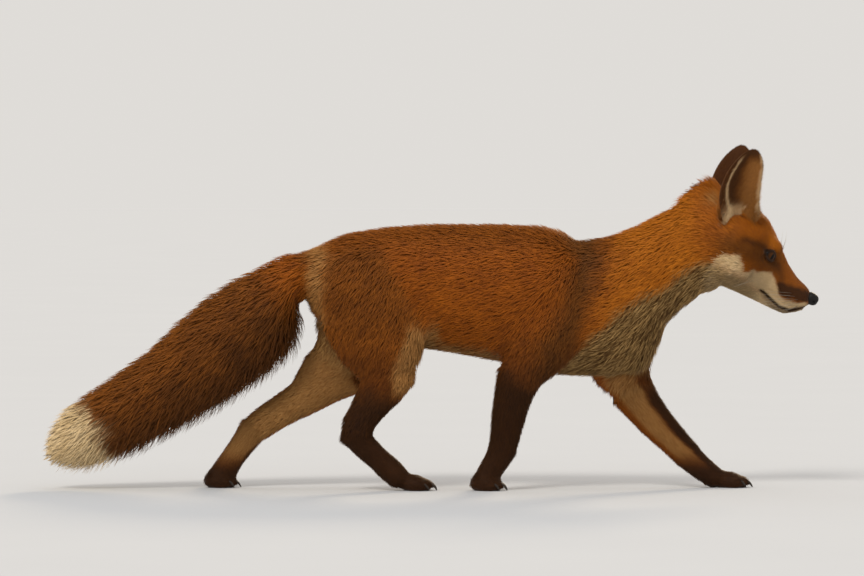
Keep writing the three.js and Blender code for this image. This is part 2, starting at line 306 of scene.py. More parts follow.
HEAD_TURN = turn_about("z", HEAD_YAW) @ turn_about("y", HEAD_PITCH) @ turn_about("x", HEAD_ROLL)
HEAD_ORIGIN = centre_of("nose") - HEAD_TURN @ np.array(NOSE_AT) * MM


def to_head(points):
    """Places in the row's frame as millimetres in the head's."""
    return (points - HEAD_ORIGIN) @ HEAD_TURN / MM


def from_head(points):
    return HEAD_ORIGIN + (np.asarray(points, float) * MM) @ HEAD_TURN.T


def eye_frame(side, axis=LID_AXIS):
    """An eye's middle, an axis of it, and the directions to its outer corner and to its upper lid."""
    node = "eye_right" if side < 0 else "eye_left"
    middle = to_head(centre_of(node)[None])[0]
    look = unit(np.array(axis) * (1, side, 1))
    outward = unit(np.array([-1, 0, 0]) - look * -look[0])
    upward = np.cross(outward, look) * side
    upward *= np.sign(upward[2])
    c, s = math.cos(math.radians(LID_SLANT)), math.sin(math.radians(LID_SLANT))
    return middle, look, c * outward + s * upward, c * upward - s * outward


def pad_distance(q):
    """How far points of the head lie from the nose pad's middle, where 1 is the pad's own surface."""
    return np.linalg.norm((q - np.array(PAD_AT)) / (np.array(NOSE_PAD) / 2), axis=1)


def past_lids(points, side):
    """How far a point of the head lies outside the eye's opening, in mm, and its height over the eye's axis."""
    middle, look, outward, upward = eye_frame(side)
    far = np.linalg.norm(points - middle, axis=1)
    d = unit(points - middle)
    ahead = d @ look
    along = np.arctan2(d @ outward, ahead) * EYE_RADIUS
    high = np.arctan2(d @ upward, ahead) * EYE_RADIUS
    share = np.clip(np.abs(along) / LID_HALF_LENGTH, 0, 1)
    lid = np.where(high > 0, LID_UPPER, LID_LOWER) * (1 - share**2) ** 0.75
    past = np.where(
        np.abs(along) < LID_HALF_LENGTH,
        np.abs(high) - lid,
        np.hypot(np.abs(along) - LID_HALF_LENGTH, high),
    )
    past = past + np.maximum(0, far - EYE_RADIUS - 3)
    return np.where(ahead > 0.05, past, 99), high


# ---- Skin -----------------------------------------------------------------------------------------------


def cad_arrays(node):
    verts, tris = mesh_arrays(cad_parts[node].data)
    keys = np.round(verts / 1e-5).astype(np.int64)
    _, first, back = np.unique(keys, axis=0, return_index=True, return_inverse=True)
    return verts[first], back.reshape(-1)[tris]


def region_of(node):
    """The coat's region for a CAD node."""
    if node in ("lower_jaw", "nose") or node.startswith("eye"):
        return "head"
    if node.startswith("ear"):
        return "ear"
    for region in REGIONS:
        if node == region or node.endswith("_" + region):
            return region
    raise ValueError(node)


def paw_parts(name):
    """Smooth toes and pad over the faceted ones."""
    x, y, heading = PAWS[name]
    turn = turn_about("z", heading)
    parts = [ball(np.array([x, y, PAD_LIFT]) * MM, np.array(PAD_SIZE) * MM, turn, 12, 18)]
    for ahead, aside, splay in TOES:
        place = turn @ np.array([ahead, aside, 0]) + np.array([x, y, TOE_LIFT])
        whole = turn_about("z", heading + splay)
        parts.append(ball(place * MM, np.array(TOE_SIZE) * MM, whole, 12, 18))
    return parts


def without_claws(verts, name):
    """Presses the claws of a foot's solid back into its toes."""
    x, y, heading = PAWS[name]
    turn = turn_about("z", heading)
    local = (verts / MM - np.array([x, y, 0])) @ turn
    for ahead, aside, _ in TOES:
        own = (np.abs(local[:, 1] - aside) < 4.8) & (local[:, 2] < 16)
        local[own, 0] = np.minimum(local[own, 0], ahead + TOE_SIZE[0] / 2 - 1.5)
    return (local @ turn.T + np.array([x, y, 0])) * MM


def largest_body(verts, tris):
    """Drops the crumbs that a remesh can leave beside the one surface."""
    web = Web(tris, len(verts))
    mark = np.arange(len(verts))
    while True:
        low = np.minimum(mark[web.a], mark[web.b])
        new = mark.copy()
        np.minimum.at(new, web.a, low)
        np.minimum.at(new, web.b, low)
        new = new[new]
        if (new == mark).all():
            break
        mark = new
    keep = mark == np.bincount(mark).argmax()
    number = np.cumsum(keep) - 1
    return verts[keep], number[tris[keep[tris[:, 0]]]]


def flesh_union():
    """Every solid but the ears in one closed surface of even quads."""
    parts = []
    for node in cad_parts:
        if node not in EARS:
            verts, tris = cad_arrays(node)
            if node.endswith("_foot"):
                verts = without_claws(verts, node[:-5])
            parts.append((verts + vertex_normals(verts, tris) * OVERLAP * MM, tris))
    for name in LEGS:
        parts += paw_parts(name)
    for (ax, az, ar), (bx, bz, br), node in FOLDS:
        y = centre_of(node)[1] / MM
        for t in np.linspace(0, 1, 9):
            place = np.array([ax + (bx - ax) * t, y, az + (bz - az) * t])
            width = 2 * (ar + (br - ar) * t)
            parts.append(ball(place * MM, np.full(3, width * MM), rings=10, sides=16))
    verts, tris = together(parts)
    source = make_object("union", verts, tris)
    remesh = source.modifiers.new("remesh", "REMESH")
    remesh.mode = "VOXEL"
    remesh.voxel_size = VOXEL * MM
    graph = bpy.context.evaluated_depsgraph_get()
    made = bpy.data.meshes.new_from_object(source.evaluated_get(graph))
    arrays = mesh_arrays(made)
    bpy.data.objects.remove(source)
    return largest_body(*arrays)


def nearest_nodes(verts):
    """The CAD node that each vertex lies nearest to, as a number into the sorted names."""
    names = sorted(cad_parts)
    parts = [cad_arrays(n) for n in names]
    all_verts, all_tris = together(parts)
    owner = np.repeat(np.arange(len(names)), [len(t) for _, t in parts])
    tree = BVHTree.FromPolygons(all_verts.tolist(), all_tris.tolist())
    return names, np.array([owner[tree.find_nearest(v)[2]] for v in verts])


def region_weights(verts, web, rounds):
    """How much each vertex belongs to each coat region, blended where they meet."""
    names, nearest = nearest_nodes(verts)
    column = np.array([REGIONS.index(region_of(n)) for n in names])[nearest]
    weights = np.zeros((len(verts), len(REGIONS)))
    weights[np.arange(len(verts)), column] = 1
    return web.smooth(weights, rounds), names, nearest


def along_tail(verts):
    """How far along the brush points lie from its root, and how far below its axis, in mm."""
    x, z = verts[:, 0] / MM + 138, verts[:, 2] / MM - 285
    return -0.80 * x - 0.60 * z, 0.60 * x - 0.80 * z


def head_coat(q):
    """Depth, length, width and number of tufts over the head: tiny on the muzzle, long at cheek and nape."""
    back = step(-q[:, 0], 20, 150)
    cheek = step(-q[:, 0], 95, 140) * step(-q[:, 2], 10, 40)
    crown = step(-q[:, 0], 142, 170)
    depth = 0.9 + 3.2 * back + 4.5 * cheek + 5 * crown
    length = 3.2 + 5.5 * back + 9 * cheek + 12 * crown
    width = 0.8 + 0.45 * back + 0.5 * cheek + 0.5 * crown
    number = 1.5 - 0.8 * back - 0.3 * cheek - 0.2 * crown
    return np.stack([depth, length, width, number], 1)


def coat_table(verts, weights, web):
    """The coat's depth, length, width and number of tufts at each vertex."""
    rows = np.array([COAT[r] for r in REGIONS], float)
    total = weights.sum(1, keepdims=True).clip(1e-6)
    head = REGIONS.index("head")
    table = np.einsum("vr,rk->vk", weights / total, rows)
    along, _ = along_tail(verts)
    brush = (weights[:, REGIONS.index("tail")] + weights[:, REGIONS.index("tail_tip")]) / total[:, 0]
    first, last = brush * (1 - step(along, 5, 85)), step(along, 370, 425)
    table[:, 0] *= 1 - 0.40 * first
    table[:, 1] *= (1 - 0.45 * first) * (1 - 0.6 * last)
    table[:, 2] *= 1 - 0.2 * last
    share = weights[:, [head]] / total
    table += share * (head_coat(to_head(verts)) - rows[head])
    return table


def ear_point(side, across, height, skin):
    """A point of an ear's leaf. across runs from -1 at the rear margin to 1 at the front one."""
    foot = 0.6 + 0.4 * np.sin(np.minimum(1, height / 0.5) * math.pi / 2)
    outline = 0.04 + 0.96 * foot * (1 - height.clip(0, 1) ** 3.2) ** 0.65
    bulge = -EAR_BULGE * np.sin(math.pi * height)
    curl = EAR_CURL * (1 - 0.2 * height)
    turn = across * outline * EAR_WIDTH / 2 / curl
    fold = 3.5 * bump(across, 0.86, 0.16) * (1 - height) * step(height, 0.0, 0.2)
    radius = curl - skin - fold
    points = np.stack(
        [
            curl - radius * np.cos(turn),
            -side * (radius * np.sin(turn) + bulge),
            height * EAR_HEIGHT - 8 * across**2 * (1 - height),
        ],
        -1,
    )
    place = turn_about("y", -EAR_BACK[side]) @ turn_about("x", -side * EAR_OUTWARD)
    place = place @ turn_about("z", side * EAR_FACING[side])
    return points @ place.T + np.array(EAR_ROOT) * (1, side, 1)


def ear_shell(side):
    """A closed ear in the head's frame, with (across, height, inside) for each vertex."""
    columns, rows = 36, 44
    across = np.linspace(-1, 1, columns + 1)
    height = np.sin(np.linspace(0, 1, rows + 1) * math.pi / 2)
    height = height * 1.16 - 0.16
    a, h = np.meshgrid(across, height, indexing="xy")
    a, h = a.ravel(), h.ravel()
    up = h.clip(0, 1)
    rim = (1 - np.abs(a) ** 6) * (1 - up**10)
    thick = (EAR_THICK_ROOT + (EAR_THICK_TIP - EAR_THICK_ROOT) * up) / 2 * np.sqrt(rim.clip(0.02, 1))
    sides = []
    for sign in (1, -1):
        points = ear_point(side, a, up, sign * thick)
        below = np.minimum(h, 0)[:, None] * EAR_HEIGHT
        points = points + below * np.array([-0.3, 0.5 * side, 1.0])
        sides.append(points)
    verts = np.concatenate(sides)
    marks = np.concatenate([np.stack([a, up, np.full(len(a), i)], 1) for i in (1.0, 0.0)])
    line, count = columns + 1, (columns + 1) * (rows + 1)
    tris = []
    for i in range(rows):
        for j in range(columns):
            p = i * line + j
            tris += [(p, p + 1, p + line + 1), (p, p + line + 1, p + line)]
            r = p + count
            tris += [(r, r + line + 1, r + 1), (r, r + line, r + line + 1)]
    edge = [j for j in range(line)] + [i * line + columns for i in range(1, rows + 1)]
    edge += [rows * line + j for j in range(columns - 1, -1, -1)]
    edge += [i * line for i in range(rows - 1, 0, -1)]
    for p, r in zip(edge, edge[1:] + edge[:1]):
        tris += [(r, p, p + count), (r, p + count, r + count)]
    tris = np.array(tris)
    if side < 0:
        tris = tris[:, ::-1]
    return verts, tris, marks


def sculpt_eyes(q):
    """Moves the head's skin to lids round each eyeball, and in behind it where the eye shows."""
    for side in (-1, 1):
        middle, look, _, _ = eye_frame(side)
        d = q - middle
        far = np.linalg.norm(d, axis=1)
        past, high = past_lids(q, side)
        near = (far < 24) & (past < 14)
        margin = EYE_RADIUS + 0.35 + 1.5 * step(past, 0, 1.7)
        crease = 0.7 * bump(past, 3.6, 0.8) * step(high, 1, 3)
        lid = margin - crease
        hidden = EYE_RADIUS - 2.2 + 2.55 * step(past, -0.9, 0.0)
        lid = np.where(past < 0, hidden, lid)
        pull = 1 - step(past, 2.2, 9.5)
        target = far + (lid - far) * pull
        q = np.where(near[:, None], middle + unit(d) * target[:, None], q)
    return q


def distance_to_line(x, z, line):
    """The distance in the side view from points to a line of (x, z) points, and how far along it they lie."""
    best, along = np.full(len(x), 1e9), np.zeros(len(x))
    for i, ((ax, az), (bx, bz)) in enumerate(zip(line, line[1:])):
        dx, dz = bx - ax, bz - az
        t = np.clip(((x - ax) * dx + (z - az) * dz) / (dx * dx + dz * dz), 0, 1)
        d = np.hypot(x - ax - t * dx, z - az - t * dz)
        along = np.where(d < best, i + t, along)
        best = np.minimum(best, d)
    return best, along


def mouth_height(x):
    """The height of the mouth's line at x."""
    return np.interp(x, [p[0] for p in MOUTH], [p[1] for p in MOUTH])


def sculpt_mouth(q, normals):
    """A groove between the lips, and the upper lip full above it."""
    gap, along = distance_to_line(q[:, 0], q[:, 2], MOUTH)
    ends = step(along, 0, 0.7) * (1 - step(along, 5.2, 6))
    depth = 2.4 * bump(gap, 0, 1.15) * ends
    above = q[:, 2] - mouth_height(q[:, 0])
    full = 0.9 * bump(above, 3.2, 2.0) * ends * (gap < 9)
    pad = 1.2 * bump(q[:, 0], -22, 9) * bump(q[:, 2], -21, 7) * step(np.abs(q[:, 1]), 5, 9)
    return q + normals * (full + pad - depth)[:, None]


def sole(verts, normals):
    """1 under the paws, where the pads are bare."""
    return step(-normals[:, 2], 0.35, 0.7) * (1 - step(verts[:, 2] / MM, 3, 6))


def boolean_union(verts, tris, more):
    """One closed surface round two closed ones."""
    base = make_object("base", verts, tris)
    tool = make_object("tool", *more)
    modifier = base.modifiers.new("join", "BOOLEAN")
    modifier.operation = "UNION"
    modifier.object = tool
    modifier.solver = "EXACT"
    graph = bpy.context.evaluated_depsgraph_get()
    made = bpy.data.meshes.new_from_object(base.evaluated_get(graph))
    arrays = mesh_arrays(made)
    bpy.data.objects.remove(base)
    bpy.data.objects.remove(tool)
    return arrays


def even_out(verts, tris):
    """Smooths away the steps between solids, most on the body, and keeps its bulk."""
    web = Web(tris, len(verts))
    weights, _, _ = region_weights(verts, web, 8)
    part = {r: weights[:, i] for i, r in enumerate(REGIONS)}
    fine = part["foot"] + part["head"] * step(to_head(verts)[:, 0], -165, -135)
    slim = part["forearm"] + part["shank"]
    share = 0.6 * (1 - 0.94 * np.clip(fine, 0, 1)) * (1 - 0.55 * slim)
    rough = verts.copy()
    verts = web.smooth(verts, 110, share)
    normals = unit(web.smooth(vertex_normals(verts, tris), 6))
    lost = web.smooth(((rough - verts) * normals).sum(1), 70)
    return verts + normals * lost[:, None]


def sculpt_muzzle_end(q):
    """Draws the muzzle's end in behind the nose pad, so that the pad stands free."""
    near = pad_distance(q)
    pull = step(q[:, 0], -14, -11) * (1 - step(near, 1.3, 1.55)) * step(q[:, 2], -15.5, -12.5)
    inner = np.array(PAD_AT) + (q - np.array(PAD_AT)) * (0.8 / near.clip(0.8))[:, None]
    return q + (inner - q) * pull[:, None]


def make_skin():
    """The skin's vertices and triangles, with lids and lips modelled and the ears joined on."""
    verts, tris = flesh_union()
    verts = even_out(verts, tris)

    _, names, nearest = region_weights(verts, Web(tris, len(verts)), 0)
    kind = np.array([region_of(n) for n in names])[nearest]
    q = to_head(verts)
    wanted = (kind == "head") & (q[:, 0] > -125) | (kind == "foot") & (verts[:, 2] < 24 * MM)
    verts, tris = refine(verts, tris, wanted)
    q = to_head(verts)
    gap, _ = distance_to_line(q[:, 0], q[:, 2], MOUTH)
    wanted = (q[:, 0] > -85) & (q[:, 0] < 5) & (np.abs(q[:, 1]) < 40) & (gap < 5)
    wanted |= np.linalg.norm(q - np.array(NOSE_AT), axis=1) < 17
    for side in (-1, 1):
        wanted |= np.linalg.norm(q - eye_frame(side)[0], axis=1) < 18
    verts, tris = refine(verts, tris, wanted)
    web = Web(tris, len(verts))
    verts = web.smooth(verts, 6, 0.5)

    weights, _, _ = region_weights(verts, web, 12)
    normals = vertex_normals(verts, tris)
    depth = coat_table(verts, weights, web)[:, 0] * (1 - sole(verts, normals)) * SKIN_SHARE
    depth = web.smooth(depth, 40)
    soft = unit(web.smooth(normals, 10))
    for _ in range(3):
        verts = verts - soft * (depth / 3 * MM)[:, None]
        verts = web.smooth(verts, 2, 0.3)
    q = to_head(verts)
    face = weights[:, REGIONS.index("head")] > 0.5
    q2 = sculpt_mouth(q, vertex_normals(verts, tris) @ HEAD_TURN)
    q2 = sculpt_muzzle_end(sculpt_eyes(q2))
    verts = np.where(face[:, None], from_head(q2), verts)
    verts[verts[:, 2] < 0.6 * MM, 2] = 0.0

    for side in (-1, 1):
        shell, shell_tris, _ = ear_shell(side)
        verts, tris = boolean_union(verts, tris, (from_head(shell), shell_tris))
    return verts, tris


def ear_coat(ears):
    """The coat's table over the ears: short, with a fringe at the rear margin and long hair at the root."""
    across, up, inner = ears[:, 0], ears[:, 1], ears[:, 2]
    fringe = inner * np.maximum(step(-across, 0.4, 0.8), 1 - step(up, 0.1, 0.35))
    nape = (1 - inner) * (1 - step(up, 0.06, 0.36))
    rows = np.array(COAT["ear"]) + fringe[:, None] * (1.5, 6, 0.1, -0.2)
    rows += nape[:, None] * (5.5, 10, 0.6, -0.6)
    rows[:, 1] *= 1 - 0.65 * step(up, 0.72, 0.97)
    return rows


def ear_marks(verts):
    """(across, height, inside, nearness) of the closest ear for each vertex: nearness is 1 on an ear."""
    points, marks = [], []
    for side in (-1, 1):
        shell, _, mark = ear_shell(side)
        points.append(from_head(shell))
        marks.append(mark)
    points, marks = np.concatenate(points), np.concatenate(marks)
    tree = KDTree(len(points))
    for i, p in enumerate(points):
        tree.insert(p, i)
    tree.balance()
    out = np.zeros((len(verts), 4))
    reach = np.linalg.norm(verts - from_head([[-140, 0, 60]]), axis=1) < 0.11
    for i in np.flatnonzero(reach):
        _, k, d = tree.find(verts[i])
        out[i, :3] = marks[k]
        out[i, 3] = 1 - step(d / MM, 1.0, 4.0)
    return out


def limb_axis(node, towards):
    """The long direction of a CAD node, pointing the given way."""
    verts, _ = cad_arrays(node)
    _, _, rows = np.linalg.svd(verts - verts.mean(0), full_matrices=False)
    axis = rows[0]
    return axis * np.sign(axis @ np.array(towards, float))


def lie_of_coat(verts, normals, web, weights, names, nearest, ears):
    """The direction in which the hair lies at each vertex, along the skin."""
    q = to_head(verts)
    lies = np.zeros_like(verts)
    fixed = {
        "trunk": (-1, 0, -0.25),
        "neck": (-0.83, 0, -0.56),
        "thigh": (-0.45, 0, -0.9),
        "upper_arm": (-0.5, 0, -0.86),
    }
    for i, node in enumerate(names):
        here, region = nearest == i, region_of(node)
        if region in fixed:
            lies[here] = fixed[region]
        elif region in ("tail", "tail_tip"):
            lies[here] = limb_axis(node, (-1, 0, -1))
        elif region in ("shank", "forearm", "foot"):
            lies[here] = limb_axis(node, (0, 0, -1))
    front = step(verts[:, 0] / MM, 215, 265) * (weights[:, REGIONS.index("trunk")] > 0.5)
    lies += front[:, None] * (np.array([-0.6, 0, -0.8]) - lies)
    hang = weights[:, REGIONS.index("tail")] * step(along_tail(verts)[1], -25, 30)
    lies[:, 2] -= 0.4 * hang
    toes = weights[:, REGIONS.index("foot")] * (1 - step(verts[:, 2] / MM, 14, 30))
    lies += toes[:, None] * (np.array([1, 0, -0.25]) - lies)
    away = unit(q - np.array([12, 0, -6])) * (1, 0.75, 1)
    away[:, 2] -= 0.45 * step(-q[:, 0], 90, 130) * step(-q[:, 2], 0, 35)
    head = np.isin(nearest, [i for i, n in enumerate(names) if region_of(n) == "head"])
    lies[head] = (away @ HEAD_TURN.T)[head]
    lies = unit(lies)
    for side in (-1, 1):
        middle, look, _, _ = eye_frame(side)
        offset = q - middle
        radial = unit(offset - look * (offset @ look)[:, None]) @ HEAD_TURN.T
        near = 0.85 * (1 - step(past_lids(q, side)[0], 2.0, 9.0))
        near = (near * (np.linalg.norm(offset, axis=1) < 25))[:, None]
        lies += near * (radial - lies)
    for _ in range(6):
        lies = web.smooth(lies, 12)
        lies = unit(lies - normals * (lies * normals).sum(1, keepdims=True))
    tip = np.array([[0.25, 0, 1.0]]) @ HEAD_TURN.T
    on_ear = ears[:, 3:] * step(ears[:, 1], 0.03, 0.2)[:, None]
    lies = lies + on_ear * (tip - lies)
    return unit(lies - normals * (lies * normals).sum(1, keepdims=True))


# ---- Markings, shared by skin and coat ------------------------------------------------------------------

# Edges of the markings: (x, z) in the row's frame for the throat, in the head's frame for the face.
THROAT_EDGE = [(120, 130), (150, 161), (180, 190), (219, 210), (236, 227), (259, 246), (284, 266),
               (315, 279), (332, 298), (363, 306)]
WHITE_EDGE = [(-141, -55), (-134, -27), (-120, -21), (-112, -27), (-104, -34), (-92, -24), (-80, -16),
              (-70, -11.5), (-58, -17), (-44, -26), (-32, -28), (-18, -23), (-6, -16)]
MUZZLE_PATCH = [(-47, -20), (-36, -18), (-24, -13), (-12, -8)]
TEAR_LINE = [(-78, -1), (-66, 0), (-56, -8), (-48, -17)]
EYE_STREAK = [(-101, 7), (-113, 4), (-128, -1)]
TEMPLE = [(-76, -4), (-108, -5), (-135, -17)]
# the line of painted shade behind the shoulder, as (x, z)
SHOULDER_SHADE_LINE = [(216, 330), (205, 290), (192, 246), (155, 170)]
RUMP_BAND = [(-136, 316), (-140, 285), (-146, 235)]
FOLD_EDGE = [(100, -68), (139, -56), (174, -51), (215, -38)]  # the pale fold before the thigh, as (z, x)


def wobble(points, size, seed):
    """Smooth uneven numbers about 0, of features about size mm across."""
    dice = np.random.default_rng(seed)
    total = np.zeros(len(points))
    for _ in range(7):
        wave = dice.normal(size=3) / (size * MM) * 2.2
        total += np.sin(points @ wave + dice.uniform(0, 6.3))
    return total / 3.5


def markings(verts, normals, weights, ears):
    """Two rows of three weights: (orange, grey, buff) and (white, dark, brown)."""
    x, y, z = (verts / MM).T
    q = to_head(verts)
    qx, qy, qz = q.T
    total = weights.sum(1).clip(1e-6)
    part = {r: weights[:, i] / total for i, r in enumerate(REGIONS)}
    ragged = wobble(verts, 26, 3)
    on_ear = ears[:, 3]
    head = part["head"] * (1 - on_ear)
    tail = part["tail"] + part["tail_tip"]
    legs = part["shank"] + part["forearm"] + part["foot"]
    body = part["trunk"] + part["neck"] + part["thigh"] + part["upper_arm"]
    forehead = step(qz, 2, 16) * step(qx, -120, -80)
    nape = step(x - 0.2 * (z - 250) + 6 * ragged, 200, 262) * (part["neck"] + part["trunk"])
    orange = np.clip(head * (0.35 + 0.65 * forehead) + nape, 0, 1)

    # Throat, chest and armpit
    below = np.interp(x, [p[0] for p in THROAT_EDGE], [p[1] for p in THROAT_EDGE]) - z
    throat = step(below + 5 * ragged, -5, 14) * step(x, 118, 140)
    outer = normals[:, 1] * np.sign(y)
    on_arm = part["upper_arm"] * np.maximum(step(outer, -0.1, 0.4), 1 - step(z + 6 * ragged, 150, 180))
    grey = throat * (body + head * (qx < -58) * step(-qz, 36, 46)) * (1 - on_arm)
    belly = part["trunk"] * step(-normals[:, 2], 0.6, 0.9) * step(x, -150, -100)
    grey = np.clip(grey + 0.7 * belly, 0, 1)

    # Legs: dark outside and in front, pale within, and the stocking fades upward
    front = normals[:, 0] * 0.85 + normals[:, 2] * 0.5
    facing = np.maximum(1.2 * outer + 0.3, 1.5 * front - 0.25) + 0.12 * ragged
    low_foot = (part["foot"] + part["forearm"]) * (1 - step(z, 22, 55))
    cover = np.maximum(step(facing, 0.0, 0.35), low_foot)
    limb = legs + 0.8 * part["upper_arm"] + 0.8 * part["thigh"]
    high = np.where(x < 40, 220, np.where(y < 0, 262, 238))
    fade = step(high - z + 8 * ragged, 0, 0.52 * high)
    dark = 0.96 * fade * limb * cover
    within_thigh = part["thigh"] * step(-np.abs(y), -42, -32)
    inside = np.maximum(step(-outer, 0.15, 0.65) * (1 - step(-front, 0.35, 0.65)), within_thigh)
    inside = inside * (1 - cover * (1 - 0.9 * within_thigh))
    upper = part["upper_arm"] * step(-z, -190, -150) + part["thigh"] * step(-z, -262, -225)
    buff = np.clip(0.85 * inside * (legs + upper), 0, 1)
    grey = np.clip(grey + 0.45 * inside * (x < 0) * (part["thigh"] + 0.5 * legs), 0, 1)
    knee = (part["thigh"] + 0.5 * part["shank"]) * step(front, 0.35, 0.75)
    buff = np.clip(buff + 0.75 * knee * step(-z, -250, -200) * step(z, 95, 130), 0, 1)
    dark *= 1 - 0.7 * knee * step(z, 100, 135)
    fold = step(x - np.interp(z, *zip(*FOLD_EDGE)) + 3 * ragged, 0, 12) * step(z, 118, 140) * (x < 20)
    fold *= 1 - step(z + 5 * ragged, 205, 238)
    fold *= part["thigh"] + part["shank"] + part["trunk"] * step(-normals[:, 2], 0.2, 0.6)
    buff = np.maximum(buff, 0.85 * fold)
    dark *= 1 - fold

    # Back, painted shade behind the shoulder, and rump
    back = part["trunk"] * step(normals[:, 2], 0.3, 0.9) + 0.8 * part["thigh"] * step(z, 150, 230)
    # a band of painted shade behind the shoulder, browner and darker
    shoulder_shade = bump(distance_to_line(x + 5 * ragged, z, SHOULDER_SHADE_LINE)[0], 0, 24) * body
    rump = bump(distance_to_line(x + 4 * ragged, z, RUMP_BAND)[0], 0, 11) * (body + tail)
    brown = 0.45 * back + 0.95 * shoulder_shade + 0.3 * part["thigh"]
    brown = np.clip(brown, 0, 1) * (1 - grey) * (1 - 0.8 * fold) * (1 - 0.8 * rump)
    dark = np.maximum(dark, 0.32 * shoulder_shade * (1 - grey))
    buff = np.clip(buff + 0.8 * rump, 0, 1)

    # Brush: brown, darkest below, with a pale tip
    along, low = along_tail(verts)
    tip = step(along - 0.13 * low + 8 * ragged, 328, 350)
    brown = np.clip(brown + 0.8 * tail * step(along, 20, 80), 0, 1)
    under = tail * step(low + 8 * ragged, -38, 30)
    dark = np.clip(dark + 0.62 * under * step(along, 15, 80) * (1 - tip), 0, 1)
    white = tip * tail

    # Face
    edge = np.interp(qx, [p[0] for p in WHITE_EDGE], [p[1] for p in WHITE_EDGE])
    cheek = head * step(edge - qz + 1.8 * wobble(verts, 9, 5), -2.2, 2.4) * step(qx, -143, -134)
    low_cheek = step(-qz, 32, 48) * step(-qx, 48, 78)
    white = np.maximum(white, 0.9 * cheek * (1 - 0.7 * low_cheek))
    grey = np.clip(np.maximum(grey, 0.9 * cheek * low_cheek), 0, 1)
    flank = step(np.abs(qy), 3.5, 8.5)
    patch = 1 - step(distance_to_line(qx, qz, MUZZLE_PATCH)[0] + 1.5 * wobble(verts, 7, 8), 4.5, 12)
    tear = bump(distance_to_line(qx, qz, TEAR_LINE)[0], 0, 5.5)
    streak = bump(distance_to_line(qx, qz, EYE_STREAK)[0], 0, 4.5)
    temple = head * bump(distance_to_line(qx, qz, TEMPLE)[0], 0, 15) * (1 - cheek)
    lips, along_lips = distance_to_line(qx, qz, MOUTH)
    lip_line = bump(lips, 0.6, 1.7) * step(along_lips, 0.05, 0.5)
    # below the mouth's line the jaw is darker: painted shade under the upper lip
    chin_shade = bump(qz - mouth_height(qx), -4.5, 3.2) * step(qx, -66, -54) * (1 - step(qx, -12, -4))
    face_dark = np.maximum(0.9 * patch, 0.5 * tear) * flank * (1 - cheek)
    face_dark = np.clip(face_dark + 0.9 * lip_line + 0.65 * chin_shade + 0.6 * streak + 0.16 * temple, 0, 1)
    for side in (-1, 1):
        past, high = past_lids(q, side)
        thick = 1.9 + 0.9 * step(high, 0, 4)
        face_dark = np.maximum(face_dark, 1 - step(past, thick, thick + 2.4))
    nose_near = pad_distance(q)
    face_dark = np.maximum(face_dark, 1 - step(nose_near, 1.1, 1.35))
    dark = np.maximum(dark, head * face_dark)
    muzzle = head * step(qx, -75, -35) * (1 - 0.5 * flank)
    brown = np.clip(brown + 0.8 * muzzle * (1 - cheek) + 0.85 * temple, 0, 1)
    spot = bump(np.hypot(x - 374, z - 368), 0, 8) * (head + part["neck"])
    buff = np.maximum(buff, 0.75 * spot)

    # Ears: dark behind; inside, a pale band within the rear margin, painted shade in the hollow towards the
    # rear and a dark tip, and tan towards the front
    across, up, within = ears[:, 0] + 0.06 * wobble(verts, 6, 21), ears[:, 1], on_ear * ears[:, 2]
    behind = on_ear * (1 - ears[:, 2])
    rear = step(-across, 0.42, 0.56) * (1 - step(-across, 0.80, 0.92)) * (1 - step(up, 0.80, 0.95))
    fore = step(across, 0.84, 0.95) * (1 - step(up, 0.9, 0.98)) * step(up, 0.1, 0.3)
    root = (1 - step(up, 0.12, 0.32)) * (across < 0.2)
    pale = within * np.clip(0.95 * rear + 0.75 * fore + 0.7 * root, 0, 1)
    tan = within * (1 - pale) * step(across, -0.15, 0.45) * (1 - step(up, 0.8, 0.95))
    # inside, darker towards the rear margin as painted shade in the ear's hollow, and darker at the tip
    hollow_shade_and_tip = np.maximum(0.75 * (1 - step(across, -0.2, 0.3)), 0.75 * step(up, 0.8, 0.95))
    dark = np.clip(dark * (1 - on_ear) + 0.85 * behind * step(up, 0.2, 0.42), 0, 1)
    dark = np.maximum(dark, within * (1 - pale) * hollow_shade_and_tip)
    white = np.maximum(white * (1 - on_ear), pale * 0.8)
    grey = grey * (1 - on_ear)
    brown = np.maximum(brown * (1 - on_ear), within * (1 - pale) * 0.8)
    orange = np.maximum(orange * (1 - on_ear), on_ear * (0.5 + 0.3 * step(across, 0.2, 0.7)))
    buff = buff * (1 - on_ear) + 0.35 * tan
    first = np.stack([orange, grey, buff], 1)
    second = np.stack([white, dark, brown], 1)
    return np.clip(first, 0, 1), np.clip(second, 0, 1)


# ---- Materials ------------------------------------------------------------------------------------------

FUR = {
    "rufous": ((0.16, 0.036, 0.002), (0.42, 0.112, 0.005)),
    "orange": ((0.28, 0.074, 0.003), (0.60, 0.190, 0.011)),
    "grey": ((0.085, 0.040, 0.010), (0.42, 0.255, 0.095)),
    "buff": ((0.26, 0.115, 0.030), (0.54, 0.285, 0.095)),
    "white": ((0.56, 0.39, 0.19), (0.90, 0.70, 0.43)),
    "dark": ((0.013, 0.005, 0.002), (0.058, 0.021, 0.005)),
    "brown": ((0.070, 0.022, 0.003), (0.26, 0.084, 0.009)),
}


